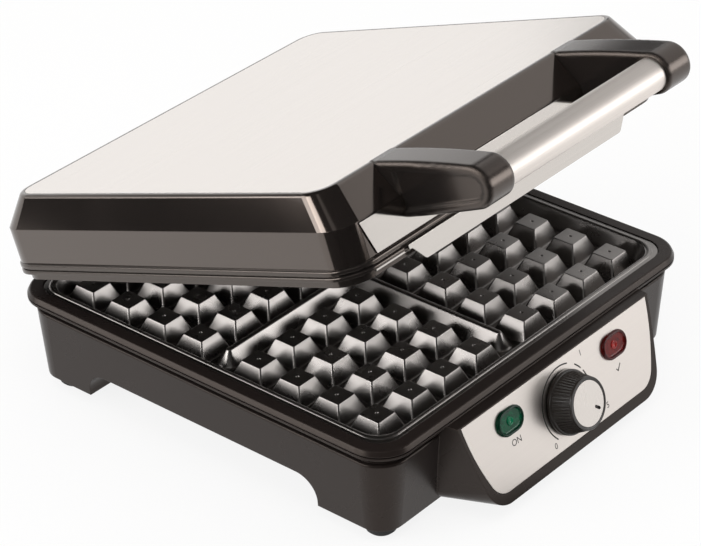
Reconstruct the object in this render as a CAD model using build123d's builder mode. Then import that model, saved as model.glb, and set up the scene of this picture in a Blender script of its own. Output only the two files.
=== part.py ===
import os
from math import atan, cos, degrees, radians, sin

from build123d import *

# A waffle maker with a hinged lid, in millimetres: +Z is up, the handle and the dial face -Y.
# The origin lies on the floor, under the middle of the appliance with its lid ajar.

# Layout
PLATE_Y = 9.0  # middle of the cooking plates
DECK_Z = 60.5  # tops of the lower plate's pins
HINGE_RISE = 0.5  # hinge axis above the deck
LID_AJAR = 19.7  # opening of the lid at rest, degrees

# Cooking plates
PIN_BASE = 22.0
PIN_TOP = 13.0
PIN_HEIGHT = 10.0
PIN_PITCH = 26.0
PIN_ROWS = 4  # rows in each of the four waffle fields
FIELD_GAP = 40.4  # pin to pin across a dividing rib
RIB_WIDTH = 15.0
RIB_HEIGHT = 8.6
RIB_DRAFT = 26.0
RIB_ROUND = 2.0
PAN_MARGIN = 2.3
PAN_FLARE = 4.5
PAN_RADIUS = 9.0
PLATE_FLOOR = 3.0
PLATE_SKIRT = 0.8
BEAD_WIDTH = 2.6
BEAD_HEIGHT = 0.8
LIP_WIDTH = 2.1
LIP_THICKNESS = 3.4
PLATE_RADIUS = 13.0
PIN_GAP = 4.0  # from the lower pins to the upper pins with the lid shut

# Heating
TUBE_RADIUS = 3.25
TUBE_LOOP = 176.0
TUBE_BEND = 24.0
TUBE_GAP = 0.25
TERMINAL_SPREAD = 52.0
TERMINAL_RADIUS = 1.6
TERMINAL_LENGTH = 12.0
REFLECTOR_DEPTH = 10.5
REFLECTOR_SHEET = 0.8
REFLECTOR_MARGIN = 3.0
FUSE_RADIUS = 2.6
FUSE_LENGTH = 16.0
FUSE_X = 40.0

# Base housing
FIT = 0.3  # slip fit between seated pieces
WALL = 3.0
LEG_Z = 8.0
FLOOR_Z = 24.0
ARCH_WIDTH = 160.0
ARCH_SHIFT = 2.0  # arch in each side, behind the middle of the plates
ARCH_ROUND = 13.0
FRONT_SKIRT = 9.0
WALL_LEAN = 3.5
SKIRT_FOOT_RADIUS = 13.0
RIM_OVERHANG = 4.0  # rim beyond the top of the wall
SKIRT_TOP_RADIUS = 17.0
SHOULDER_ROUND = 1.2
COVE_Z = 50.0  # top of the wall, where the cove under the rim begins
COVE_STEP = 2.5
RIM_Z = 56.0
RIM_BEAD = 1.2  # thin bead along the rim's lower edge
RIM_GROOVE = 0.8
RIM_GROOVE_DEPTH = 1.2
RIM_WALL = 6.5
RIM_FLARE = 1.5
RIM_RADIUS = 20.0
RIM_ROUND = 1.2
RIM_PROUD = 0.4  # rim above the deck
LEDGE = 4.5
LEG_POCKET = 34.0
HATCH = 112.0
COVER_SIZE = 132.0
COVER_THICKNESS = 2.0
COVER_RADIUS = 12.0
VENT_LENGTH = 40.0
VENT_WIDTH = 3.4
VENT_SPREAD = 50.0
VENT_PITCH = 9.0
VENT_ROWS = 7

# Feet
FOOT_INSET = 13.5
FOOT_RADIUS = 8.0
FOOT_ROUND = 1.4
STEM_RADIUS = 3.4
STEM_HEAD = 1.0

# Control panel
PANEL_TILT = 19.5
PANEL_PROUD = 6.5  # faceplate's top edge in front of the rim
PANEL_TOP_Z = 55.9
PANEL_HALF = 78.4
PANEL_WAIST = 74.0
PANEL_FOOT = 65.0
PANEL_HEIGHT = 45.0
PANEL_CORNER = 12.0
PANEL_SHEET = 1.0
FRAME_SIDE = 2.5
FRAME_TOP = 0.8
FRAME_FOOT = 6.0
FRAME_CORNER = 16.0
HOOD_HALF = 84.0
HOOD_WAIST = 84.5
HOOD_FOOT = 83.0
HOOD_CORNER = 4.0
HOOD_DEPTH = 22.5
FRAME_WALL = 2.4
HOLLOW_DEPTH = 27.0
LAMP_X = 44.6
LAMP_DROP = 12.0
LENS_LENGTH = 20.4
LENS_HEIGHT = 13.8
LENS_PROUD = 1.8
LENS_ROUND = 1.2
LENS_RIM = 1.5
BULB_RADIUS = 4.0
BULB_LENGTH = 12.0

# Dial
DIAL_DROP = 23.5
KNOB_BASE_RADIUS = 17.2
KNOB_TOP_RADIUS = 14.0
KNOB_HEIGHT = 14.0
KNOB_CLEARANCE = 0.6
KNOB_SKIRT = 2.4
FLUTES = 30
FLUTE_RADIUS = 0.8
CAP_RADIUS = 12.0
CAP_THICKNESS = 1.0
POINTER_ANGLE = 130.0  # clockwise from the top of the dial, at rest
POINTER_RADIUS = 7.6
POINTER_LENGTH = 4.6
POINTER_WIDTH = 1.7
SPINDLE_RADIUS = 3.0
SPINDLE_FIT = 0.05
SPINDLE_SOCKET = 9.0
BUSH_RADIUS = 5.0
THERMOSTAT_WIDTH = 34.0
THERMOSTAT_HEIGHT = 22.0
THERMOSTAT_DEPTH = 12.0

# Mains entry
GLAND_X = 44.0
GLAND_Z = 36.0
GLAND_BORE = 3.6
GLAND_WALL = 2.0
GLAND_FLANGE = 8.5
GLAND_FLANGE_THICKNESS = 2.5
GLAND_BOSS = 10.5
GLAND_PROUD = 2.0
GLAND_LENGTH = 10.0
BLOCK_LENGTH = 34.0
BLOCK_DEPTH = 15.0
BLOCK_HEIGHT = 9.0
BLOCK_SCREW_RADIUS = 2.2
BLOCK_SCREW_PITCH = 11.0
BLOCK_INSET = 21.5

# Hinge
HINGE_X = 78.0
HINGE_OFFSET = 10.5  # hinge axis behind the lid's rear wall
PIN_RADIUS = 3.0
PIN_RUNNING_FIT = 0.05
KNUCKLE_WIDTH = 18.0
KNUCKLE_RADIUS = 6.4
EAR_THICKNESS = 6.0
EAR_RADIUS = 7.0
EAR_GAP = 0.4
EAR_ROOT = 18.0
EAR_ROOT_DROP = 12.0
KNUCKLE_ROOT = 4.6

# Lid
LID_LIFT = 1.0  # lid's lower edge above the deck when shut
LIP_INSET = 2.0
LID_LIP_HEIGHT = 4.5
RIDGE_PROUD = 1.8
RIDGE_HEIGHT = 2.2
RIDGE_ROUND = 1.1
GROOVE_HEIGHT = 1.1
GROOVE_DEPTH = 1.2
RING_RADIUS = 15.0
LID_SETBACK = 1.0  # lid's band inside the rim
LID_BAND_RADIUS = 14.5
CREASE_HEIGHT = 30.4
LID_TOP_HEIGHT = 47.6
LID_TOP_SIDE = 6.0  # how far the top draws in at each side, and at front and back
LID_TOP_END = 11.5
LID_TOP_RADIUS = 13.0
LID_TOP_ROUND = 2.2
LID_WALL = 2.6
TOP_PLATE_MARGIN = 2.4
TOP_PLATE_SHEET = 0.8
TRIM_SHEET = 0.8
TRIM_TOP_INSET = 13.5
TRIM_FOOT_INSET = 19.5
TRIM_MARGIN = 0.7
APRON_HALF = 79.5
APRON_DROP = 3.0
APRON_RISE = 2.4  # apron's top edge above the lip
APRON_SHOULDER = 7.5
APRON_END = 2.0
APRON_LEDGE = 74.5  # half the ledge that joins the apron to the lip
STRIP_HALF = 109.0
STRIP_HEIGHT = 2.2
APRON_SHEET = 0.8
APRON_CORNER = 3.0

# Handle
BAR_STANDOFF = 47.5
BAR_HEIGHT = 33.8
BAR_RADIUS = 9.0
BAR_SHEET = 1.2
BAR_SOCKET = 10.0
BAR_FIT = 0.05
ARM_INNER = 62.5
ARM_WIDTH = 19.5
ARM_TIP = 11.2
ARM_ROOT_TOP = 47.8
ARM_ROOT_FOOT = 17.6
ARM_ROOT_DEPTH = 14.5
ARM_RAKE = 6.0  # how far each edge leaves the bar's axis, degrees
ARM_ROUND = 2.2
ARM_PANEL_INSET = 5.0
ARM_PANEL_DEPTH = 1.4
SCREW_RADIUS = 2.0
SCREW_FIT = 0.1
SCREW_HEAD_RADIUS = 3.6
SCREW_HEAD = 2.4
SCREW_LENGTH = 14.0
SCREW_HEIGHT = 25.0
SCREW_PITCH = 9.0

# Sizes that follow from the ones above
pin_draft = degrees(atan((PIN_BASE - PIN_TOP) / 2 / PIN_HEIGHT))
field_pitch = FIELD_GAP + (PIN_ROWS - 1) * PIN_PITCH
pin_span = field_pitch + (PIN_ROWS - 1) * PIN_PITCH + PIN_BASE
pan_floor = pin_span + 2 * PAN_MARGIN
pan_mouth = pan_floor + 2 * PAN_FLARE
bead_width = pan_mouth + 2 * BEAD_WIDTH
lip_width = bead_width + 2 * LIP_WIDTH
body_width = pan_mouth + 2 * PLATE_SKIRT
seat_width = body_width + 2 * FIT
pocket_width = lip_width + 2 * FIT
rim_width = pocket_width + 2 * RIM_WALL
rim_foot = rim_width + 2 * RIM_FLARE
rim_top = DECK_Z + RIM_PROUD
skirt_top = rim_foot - 2 * RIM_OVERHANG
skirt_foot = skirt_top - 2 * WALL_LEAN
foot_pitch = skirt_foot - 2 * FOOT_INSET
block_reach = skirt_foot / 2 - BLOCK_INSET
panel_reach = rim_foot / 2 + PANEL_PROUD
hood_reach = panel_reach - HOOD_DEPTH
cove_width = skirt_top - 2 * COVE_STEP
cove_radius = SKIRT_TOP_RADIUS - COVE_STEP
cavity_top = COVE_Z - WALL
lip_under = LIP_THICKNESS - BEAD_HEIGHT  # lip's seat, below the deck
ledge_z = DECK_Z - lip_under
lid_band = rim_width - 2 * LID_SETBACK
lid_lip = lid_band - 2 * LIP_INSET
ridge_width = lid_band + 2 * RIDGE_PROUD
ridge_radius = RING_RADIUS + LIP_INSET + RIDGE_PROUD
ring_top = LID_LIFT + LID_LIP_HEIGHT + 2 * RIDGE_HEIGHT + GROOVE_HEIGHT
upper_face = PIN_GAP  # tips of the upper pins, in the lid's frame
rib_length = pin_span - PIN_BASE / 2 + PAN_MARGIN
hinge_reach = lid_band / 2 + HINGE_OFFSET
hinge_z = DECK_Z + HINGE_RISE
lid_top_width = lid_band - 2 * LID_TOP_SIDE
lid_top_depth = lid_band - 2 * LID_TOP_END
trim_top_half = lid_band / 2 - TRIM_TOP_INSET
trim_foot_half = lid_band / 2 - TRIM_FOOT_INSET
bar_reach = lid_band / 2 + BAR_STANDOFF
arm_root_reach = lid_band / 2 - ARM_ROOT_DEPTH

# Reference planes
tilt = radians(PANEL_TILT)
panel = Plane((0, PLATE_Y - panel_reach, PANEL_TOP_Z), (1, 0, 0), (0, -cos(tilt), sin(tilt)))
hinge = Plane((0, PLATE_Y + hinge_reach, hinge_z)).rotated((-LID_AJAR, 0, 0))
lid_axis = Axis(hinge.origin, hinge.z_dir)


def level(z):
    """Horizontal plane of the base, over the middle of the plates."""
    return Plane((0, PLATE_Y, z))


def side(x):
    """Upright plane of the base, seen from its right: depth and height."""
    return Plane((x, PLATE_Y, 0), (0, 1, 0), (1, 0, 0))


def lid_level(height):
    """Plane of the lid, parallel to the deck when the lid is shut."""
    middle = hinge.from_local_coords(Vector(0, -hinge_reach, height - HINGE_RISE))
    return Plane(middle, (1, 0, 0), hinge.z_dir)


def lid_side(x):
    """Upright plane of the lid, seen from its right: depth and height."""
    lid = lid_level(0)
    return Plane(lid.from_local_coords(Vector(x, 0, 0)), lid.y_dir, (1, 0, 0))


def lid_front(reach):
    """Upright plane of the lid, seen from its front: width and height."""
    lid = lid_level(0)
    return Plane(lid.from_local_coords(Vector(0, -reach, 0)), (1, 0, 0), -lid.y_dir)


def facing_down(plane):
    """The same plane, turned to face the other way."""
    return Plane(plane.origin, plane.x_dir, -plane.z_dir)


def skirt_width(z):
    """Outer width of the tapered base wall at a height."""
    return skirt_foot + (skirt_top - skirt_foot) * (z - LEG_Z) / (COVE_Z - LEG_Z)


def rounded_square(width, radius):
    return RectangleRounded(width, width, radius)


def shield(top_half, waist_half, foot_half, top, foot, corner):
    """Outline of the control panel: straight top, bowed sides and rounded lower corners."""
    waist = (top + foot) / 2
    with BuildLine() as outline:
        Line((-top_half, top), (top_half, top))
        ThreePointArc((top_half, top), (waist_half, waist), (foot_half, foot))
        Line((foot_half, foot), (-foot_half, foot))
        ThreePointArc((-foot_half, foot), (-waist_half, waist), (-top_half, top))
    make_face(outline.edges())
    fillet(vertices().sort_by(Axis.Y)[:2], corner)


def screw_holes(radius):
    """Circles where the handle's screws pass the lid's front wall, two for each arm."""
    with GridLocations(2 * ARM_INNER + ARM_WIDTH, 0, 2, 1):
        with Locations((-SCREW_PITCH / 2, SCREW_HEIGHT), (SCREW_PITCH / 2, SCREW_HEIGHT)):
            Circle(radius)


def save(name, builder):
    builder.part.label = name
    export_step(builder.part, f"parts/{name}.step")


os.makedirs("parts", exist_ok=True)


# Cooking plates: cast pans with four fields of tapered pins, parted by a cross of ribs
def waffle_plate(face):
    back = face.offset(-PIN_HEIGHT - PLATE_FLOOR)
    seat = face.offset(-lip_under)
    pan = face.offset(-PIN_HEIGHT)
    with BuildPart() as plate:
        with BuildSketch(back):
            rounded_square(body_width, PLATE_RADIUS)
        extrude(amount=PIN_HEIGHT + PLATE_FLOOR)
        with BuildSketch(seat):
            rounded_square(lip_width, PLATE_RADIUS)
        extrude(amount=lip_under)
        with BuildSketch(face):
            rounded_square(bead_width, PLATE_RADIUS)
        extrude(amount=BEAD_HEIGHT)
        with BuildSketch(pan):
            rounded_square(pan_floor, PAN_RADIUS)
        with BuildSketch(face.offset(BEAD_HEIGHT)):
            rounded_square(pan_mouth, PAN_RADIUS + PAN_FLARE)
        loft(mode=Mode.SUBTRACT)
        with BuildSketch(pan):
            with GridLocations(field_pitch, field_pitch, 2, 2):
                with GridLocations(PIN_PITCH, PIN_PITCH, PIN_ROWS, PIN_ROWS):
                    Rectangle(PIN_BASE, PIN_BASE)
        extrude(amount=PIN_HEIGHT, taper=pin_draft)
        with BuildSketch(pan):
            SlotOverall(rib_length, RIB_WIDTH)
            SlotOverall(rib_length, RIB_WIDTH, rotation=90)
        extrude(amount=RIB_HEIGHT, taper=RIB_DRAFT)
        rib_top = faces().filter_by(lambda f: abs(pan.to_local_coords(f.center()).Z - RIB_HEIGHT) < 0.01)
        fillet(rib_top.sort_by(SortBy.AREA)[-1].edges(), RIB_ROUND)
    return plate


lower_plate = waffle_plate(level(DECK_Z))
upper_plate = waffle_plate(facing_down(lid_level(upper_face)))


# Heating tubes: one loop behind each plate, with its two terminals at the hinge
def heater(face, toward_hinge):
    axis = face.offset(-PIN_HEIGHT - PLATE_FLOOR - TUBE_GAP - TUBE_RADIUS)
    half = TUBE_LOOP / 2
    end = TERMINAL_SPREAD / 2
    rear = half * toward_hinge
    with BuildPart() as tube:
        with BuildLine(axis) as path:
            FilletPolyline((-end, rear), (-half, rear), (-half, -rear), (half, -rear), (half, rear), (end, rear),
                           radius=TUBE_BEND)
        with BuildSketch(Plane(path.line @ 0, z_dir=path.line % 0)):
            Circle(TUBE_RADIUS)
        sweep()
        for start, out in ((path.line @ 0, -(path.line % 0)), (path.line @ 1, path.line % 1)):
            with BuildSketch(Plane(start, z_dir=out)):
                Circle(TERMINAL_RADIUS)
            extrude(amount=TERMINAL_LENGTH)
    return tube


lower_heater = heater(level(DECK_Z), 1)
upper_heater = heater(facing_down(lid_level(upper_face)), -1)


# Reflectors: sheet pans that close the heater in against the back of its plate
def reflector(face):
    back = face.offset(-PIN_HEIGHT - PLATE_FLOOR)
    width = body_width - 2 * REFLECTOR_MARGIN
    with BuildPart() as pan:
        with BuildSketch(back):
            rounded_square(width, PLATE_RADIUS)
        extrude(amount=-REFLECTOR_DEPTH)
        with BuildSketch(back):
            rounded_square(width - 2 * REFLECTOR_SHEET, PLATE_RADIUS - REFLECTOR_SHEET)
        extrude(amount=REFLECTOR_SHEET - REFLECTOR_DEPTH, mode=Mode.SUBTRACT)
    return pan


lower_reflector = reflector(level(DECK_Z))
upper_reflector = reflector(facing_down(lid_level(upper_face)))
reflector_z = DECK_Z - PIN_HEIGHT - PLATE_FLOOR - REFLECTOR_DEPTH

# Base housing: a moulded shell on four hollow legs, with a shoulder, a rim and the panel's hood
ear_inner = KNUCKLE_WIDTH / 2 + EAR_GAP
ear_starts = [side_sign * HINGE_X + offset
              for side_sign in (-1, 1)
              for offset in (-ear_inner - EAR_THICKNESS, ear_inner)]
gland_reach = skirt_width(GLAND_Z) / 2 + GLAND_PROUD
cord_entry = Plane((GLAND_X, PLATE_Y + gland_reach, GLAND_Z), (1, 0, 0), (0, 1, 0))
with BuildPart() as base_housing:
    with BuildSketch(level(LEG_Z)):
        rounded_square(skirt_foot, SKIRT_FOOT_RADIUS)
    with BuildSketch(level(COVE_Z)):
        rounded_square(skirt_top, SKIRT_TOP_RADIUS)
    loft(ruled=True)
    fillet(faces().sort_by(Axis.Z)[-1].edges(), SHOULDER_ROUND)
    with BuildSketch(panel):
        shield(PANEL_HALF + FRAME_SIDE, PANEL_WAIST + FRAME_SIDE, PANEL_FOOT + 2 * FRAME_SIDE,
               FRAME_TOP, -PANEL_HEIGHT - FRAME_FOOT, FRAME_CORNER)
    with BuildSketch(Plane((0, PLATE_Y - hood_reach, PANEL_TOP_Z), (1, 0, 0), (0, -1, 0))):
        shield(HOOD_HALF, HOOD_WAIST, HOOD_FOOT,
               FRAME_TOP * cos(tilt), -(PANEL_HEIGHT + FRAME_FOOT) * cos(tilt), HOOD_CORNER)
    loft(ruled=True)
    with BuildSketch(level(COVE_Z)):
        rounded_square(cove_width, cove_radius)
    extrude(amount=RIM_Z - COVE_Z)
    with BuildSketch(level(RIM_Z)):
        rounded_square(rim_foot, RIM_RADIUS)
    extrude(amount=RIM_BEAD)
    with BuildSketch(level(RIM_Z + RIM_BEAD)):
        rounded_square(rim_foot - 2 * RIM_GROOVE_DEPTH, RIM_RADIUS - RIM_GROOVE_DEPTH)
    extrude(amount=RIM_GROOVE)
    with BuildSketch(level(RIM_Z + RIM_BEAD + RIM_GROOVE)):
        rounded_square(rim_foot, RIM_RADIUS)
    with BuildSketch(level(rim_top)):
        rounded_square(rim_width, RIM_RADIUS - RIM_FLARE)
    loft(ruled=True)
    rim_edges = faces().sort_by(Axis.Z)[-1].outer_wire().edges()
    fillet(rim_edges, RIM_ROUND)
    for start in ear_starts:
        with BuildSketch(side(start)):
            with Locations((hinge_reach, hinge_z)):
                Circle(EAR_RADIUS)
            with Locations((skirt_width(FLOOR_Z) / 2, COVE_Z - EAR_ROOT_DROP)):
                Rectangle(WALL, EAR_ROOT)
            make_hull()
        extrude(amount=EAR_THICKNESS)
    with BuildSketch(cord_entry):
        Circle(GLAND_BOSS)
    extrude(amount=-GLAND_PROUD - WALL)
    # hollow: main cavity, plate seat, rim pocket, legs and panel hood
    with BuildSketch(level(FLOOR_Z + WALL)):
        rounded_square(skirt_width(FLOOR_Z + WALL) - 2 * WALL, SKIRT_FOOT_RADIUS - WALL)
    with BuildSketch(level(cavity_top)):
        rounded_square(skirt_width(cavity_top) - 2 * WALL, SKIRT_TOP_RADIUS - WALL)
    loft(ruled=True, mode=Mode.SUBTRACT)
    with BuildSketch(level(cavity_top)):
        rounded_square(cove_width - 2 * WALL, cove_radius - WALL)
    extrude(amount=ledge_z - LEDGE - cavity_top, mode=Mode.SUBTRACT)
    with BuildSketch(level(COVE_Z)):
        rounded_square(seat_width, PLATE_RADIUS + FIT)
    extrude(amount=ledge_z - COVE_Z, mode=Mode.SUBTRACT)
    with BuildSketch(level(ledge_z)):
        rounded_square(pocket_width, PLATE_RADIUS + FIT)
    extrude(amount=rim_top - ledge_z, mode=Mode.SUBTRACT)
    with BuildSketch(side(0)):
        with Locations((ARCH_SHIFT, FLOOR_Z / 2)):
            Rectangle(ARCH_WIDTH, FLOOR_Z)
        fillet(vertices().sort_by(Axis.Y)[-2:], ARCH_ROUND)
    extrude(amount=skirt_top, both=True, mode=Mode.SUBTRACT)
    with BuildSketch(Plane((0, PLATE_Y - skirt_foot / 2 + FRONT_SKIRT, 0), (-1, 0, 0), (0, 1, 0))):
        with Locations((0, FLOOR_Z / 2)):
            Rectangle(ARCH_WIDTH, FLOOR_Z)
        fillet(vertices().sort_by(Axis.Y)[-2:], ARCH_ROUND)
    extrude(amount=skirt_top, mode=Mode.SUBTRACT)
    with BuildSketch(level(LEG_Z + WALL)):
        with GridLocations(skirt_foot - 2 * WALL - LEG_POCKET, skirt_foot - 2 * WALL - LEG_POCKET, 2, 2):
            RectangleRounded(LEG_POCKET, LEG_POCKET, WALL)
    extrude(amount=FLOOR_Z - LEG_Z, mode=Mode.SUBTRACT)
    with BuildSketch(level(FLOOR_Z)):
        rounded_square(HATCH, COVER_RADIUS)
    extrude(amount=WALL, mode=Mode.SUBTRACT)
    with BuildSketch(panel.offset(-PANEL_SHEET - FRAME_WALL)):
        shield(PANEL_HALF - FRAME_WALL, PANEL_WAIST - FRAME_WALL, PANEL_FOOT - FRAME_WALL,
               -FRAME_WALL, -PANEL_HEIGHT, PANEL_CORNER)
    extrude(amount=HOLLOW_DEPTH, dir=(0, 1, 0), mode=Mode.SUBTRACT)
    # seats: faceplate, lenses, thermostat bush, feet, hinge pins and mains entry
    with BuildSketch(panel):
        shield(PANEL_HALF + FIT, PANEL_WAIST + FIT, PANEL_FOOT + FIT, FIT, -PANEL_HEIGHT - FIT, PANEL_CORNER)
    extrude(amount=-PANEL_SHEET, mode=Mode.SUBTRACT)
    with BuildSketch(panel):
        with Locations((-LAMP_X, -LAMP_DROP), (LAMP_X, -LAMP_DROP)):
            SlotOverall(LENS_LENGTH - 2 * LENS_RIM + 2 * FIT, LENS_HEIGHT - 2 * LENS_RIM + 2 * FIT)
        with Locations((0, -DIAL_DROP)):
            Circle(BUSH_RADIUS + FIT)
    extrude(amount=-PANEL_SHEET - FRAME_WALL, mode=Mode.SUBTRACT)
    with BuildSketch(level(LEG_Z)):
        with GridLocations(foot_pitch, foot_pitch, 2, 2):
            Circle(STEM_RADIUS + FIT / 2)
    extrude(amount=WALL, mode=Mode.SUBTRACT)
    with BuildSketch(side(0)):
        with Locations((hinge_reach, hinge_z)):
            Circle(PIN_RADIUS + PIN_RUNNING_FIT / 2)
    extrude(amount=skirt_top, both=True, mode=Mode.SUBTRACT)
    with BuildSketch(cord_entry):
        Circle(GLAND_BORE + GLAND_WALL + FIT / 2)
    extrude(amount=-GLAND_LENGTH, mode=Mode.SUBTRACT)

# Bottom cover: closes the hatch from below, slotted for air
with BuildPart() as bottom_cover:
    with BuildSketch(level(FLOOR_Z - COVER_THICKNESS)):
        rounded_square(COVER_SIZE, COVER_RADIUS)
        with GridLocations(VENT_SPREAD, VENT_PITCH, 2, VENT_ROWS):
            SlotOverall(VENT_LENGTH, VENT_WIDTH, mode=Mode.SUBTRACT)
    extrude(amount=COVER_THICKNESS)

# Rubber feet: pressed through the leg floors by a headed stem
with BuildPart() as foot:
    with BuildSketch(Plane.XZ):
        with BuildLine():
            Polyline((0, 0), (FOOT_RADIUS - FOOT_ROUND, 0), (FOOT_RADIUS, FOOT_ROUND), (FOOT_RADIUS, LEG_Z),
                     (STEM_RADIUS, LEG_Z), (STEM_RADIUS, LEG_Z + WALL),
                     (STEM_RADIUS + STEM_HEAD, LEG_Z + WALL), (STEM_RADIUS, LEG_Z + 2 * WALL),
                     (0, LEG_Z + 2 * WALL), close=True)
        make_face()
    revolve(axis=Axis.Z)
with BuildPart() as rubber_feet:
    with Locations((0, PLATE_Y, 0)):
        with GridLocations(foot_pitch, foot_pitch, 2, 2):
            add(foot.part)

# Control panel: sheet faceplate, two lamp lenses with their bulbs, thermostat
with BuildPart() as control_faceplate:
    with BuildSketch(panel):
        shield(PANEL_HALF, PANEL_WAIST, PANEL_FOOT, 0, -PANEL_HEIGHT, PANEL_CORNER)
        with Locations((-LAMP_X, -LAMP_DROP), (LAMP_X, -LAMP_DROP)):
            SlotOverall(LENS_LENGTH - 2 * LENS_RIM + 2 * FIT, LENS_HEIGHT - 2 * LENS_RIM + 2 * FIT,
                        mode=Mode.SUBTRACT)
        with Locations((0, -DIAL_DROP)):
            Circle(BUSH_RADIUS + FIT, mode=Mode.SUBTRACT)
    extrude(amount=-PANEL_SHEET)


def lamp_lens(x):
    with BuildPart() as lens:
        with BuildSketch(panel):
            with Locations((x, -LAMP_DROP)):
                SlotOverall(LENS_LENGTH, LENS_HEIGHT)
        extrude(amount=LENS_PROUD)
        fillet(faces().sort_by(Axis(panel.origin, panel.z_dir))[-1].edges(), LENS_ROUND)
        with BuildSketch(panel):
            with Locations((x, -LAMP_DROP)):
                SlotOverall(LENS_LENGTH - 2 * LENS_RIM, LENS_HEIGHT - 2 * LENS_RIM)
        extrude(amount=-PANEL_SHEET - FRAME_WALL)
    return lens


def lamp_bulb(x):
    with BuildPart() as bulb:
        with BuildSketch(panel.offset(-PANEL_SHEET - FRAME_WALL)):
            with Locations((x, -LAMP_DROP)):
                Circle(BULB_RADIUS)
        extrude(amount=-BULB_LENGTH)
        fillet(faces().sort_by(Axis(panel.origin, panel.z_dir))[0].edges(), BULB_RADIUS / 2)
    return bulb


power_lens = lamp_lens(-LAMP_X)
ready_lens = lamp_lens(LAMP_X)
power_bulb = lamp_bulb(-LAMP_X)
ready_bulb = lamp_bulb(LAMP_X)

with BuildPart() as thermostat:
    with BuildSketch(panel.offset(-PANEL_SHEET - FRAME_WALL)):
        with Locations((0, -DIAL_DROP)):
            Rectangle(THERMOSTAT_WIDTH, THERMOSTAT_HEIGHT)
    extrude(amount=-THERMOSTAT_DEPTH)
    with BuildSketch(panel.offset(-PANEL_SHEET - FRAME_WALL)):
        with Locations((0, -DIAL_DROP)):
            Circle(BUSH_RADIUS)
    extrude(amount=PANEL_SHEET + FRAME_WALL)
    with BuildSketch(panel):
        with Locations((0, -DIAL_DROP)):
            Circle(SPINDLE_RADIUS + SPINDLE_FIT)
    extrude(amount=-PANEL_SHEET - FRAME_WALL - THERMOSTAT_DEPTH / 2, mode=Mode.SUBTRACT)

# Dial: a fluted knob with a metal cap, turning on the thermostat's spindle
dial = Plane(panel.from_local_coords(Vector(0, -DIAL_DROP, 0)), panel.x_dir, panel.z_dir)


def fluted(radius):
    Circle(radius)
    with PolarLocations(radius, FLUTES):
        Circle(FLUTE_RADIUS, mode=Mode.SUBTRACT)


with BuildPart() as knob:
    with BuildSketch(dial.offset(KNOB_CLEARANCE)):
        Circle(KNOB_BASE_RADIUS)
    extrude(amount=KNOB_SKIRT)
    with BuildSketch(dial.offset(KNOB_CLEARANCE + KNOB_SKIRT)):
        fluted(KNOB_BASE_RADIUS)
    with BuildSketch(dial.offset(KNOB_HEIGHT)):
        fluted(KNOB_TOP_RADIUS)
    loft(ruled=True)
    with BuildSketch(dial.offset(KNOB_HEIGHT)):
        Circle(CAP_RADIUS + FIT / 2)
    extrude(amount=-CAP_THICKNESS, mode=Mode.SUBTRACT)
    with BuildSketch(dial):
        Circle(SPINDLE_RADIUS)
    extrude(amount=SPINDLE_SOCKET, mode=Mode.SUBTRACT)
with BuildPart() as knob_cap:
    with BuildSketch(dial.offset(KNOB_HEIGHT - CAP_THICKNESS)):
        Circle(CAP_RADIUS)
        with PolarLocations(POINTER_RADIUS, 1, start_angle=90 - POINTER_ANGLE):
            SlotOverall(POINTER_LENGTH, POINTER_WIDTH, mode=Mode.SUBTRACT)
    extrude(amount=CAP_THICKNESS)
with BuildPart() as spindle:
    with BuildSketch(dial.offset(SPINDLE_SOCKET)):
        Circle(SPINDLE_RADIUS)
    extrude(amount=-SPINDLE_SOCKET - PANEL_SHEET - FRAME_WALL - THERMOSTAT_DEPTH / 2)

# Mains entry: the bush that the lead passes through, the terminal block and the thermal fuse
with BuildPart() as cord_gland:
    with BuildSketch(cord_entry):
        Circle(GLAND_FLANGE)
        Circle(GLAND_BORE, mode=Mode.SUBTRACT)
    extrude(amount=GLAND_FLANGE_THICKNESS)
    with BuildSketch(cord_entry):
        Circle(GLAND_BORE + GLAND_WALL)
        Circle(GLAND_BORE, mode=Mode.SUBTRACT)
    extrude(amount=-GLAND_LENGTH)
with BuildPart() as terminal_block:
    with BuildSketch(level(FLOOR_Z + WALL)):
        with Locations((0, block_reach)):
            RectangleRounded(BLOCK_LENGTH, BLOCK_DEPTH, WALL)
    extrude(amount=BLOCK_HEIGHT)
    with BuildSketch(level(FLOOR_Z + WALL + BLOCK_HEIGHT)):
        with Locations((0, block_reach)):
            with GridLocations(BLOCK_SCREW_PITCH, 0, 3, 1):
                Circle(BLOCK_SCREW_RADIUS)
    extrude(amount=-BLOCK_HEIGHT / 2, mode=Mode.SUBTRACT)
with BuildPart() as thermal_fuse:
    with BuildSketch(side(FUSE_X)):
        with Locations((0, reflector_z - FUSE_RADIUS)):
            Circle(FUSE_RADIUS)
    extrude(amount=FUSE_LENGTH)

# Hinge pins: one at each side, held in the base's ears
with BuildPart() as hinge_pins:
    for side_sign in (-1, 1):
        with BuildSketch(side(side_sign * HINGE_X)):
            with Locations((hinge_reach, hinge_z)):
                Circle(PIN_RADIUS)
        extrude(amount=ear_inner + EAR_THICKNESS, both=True)

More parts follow.
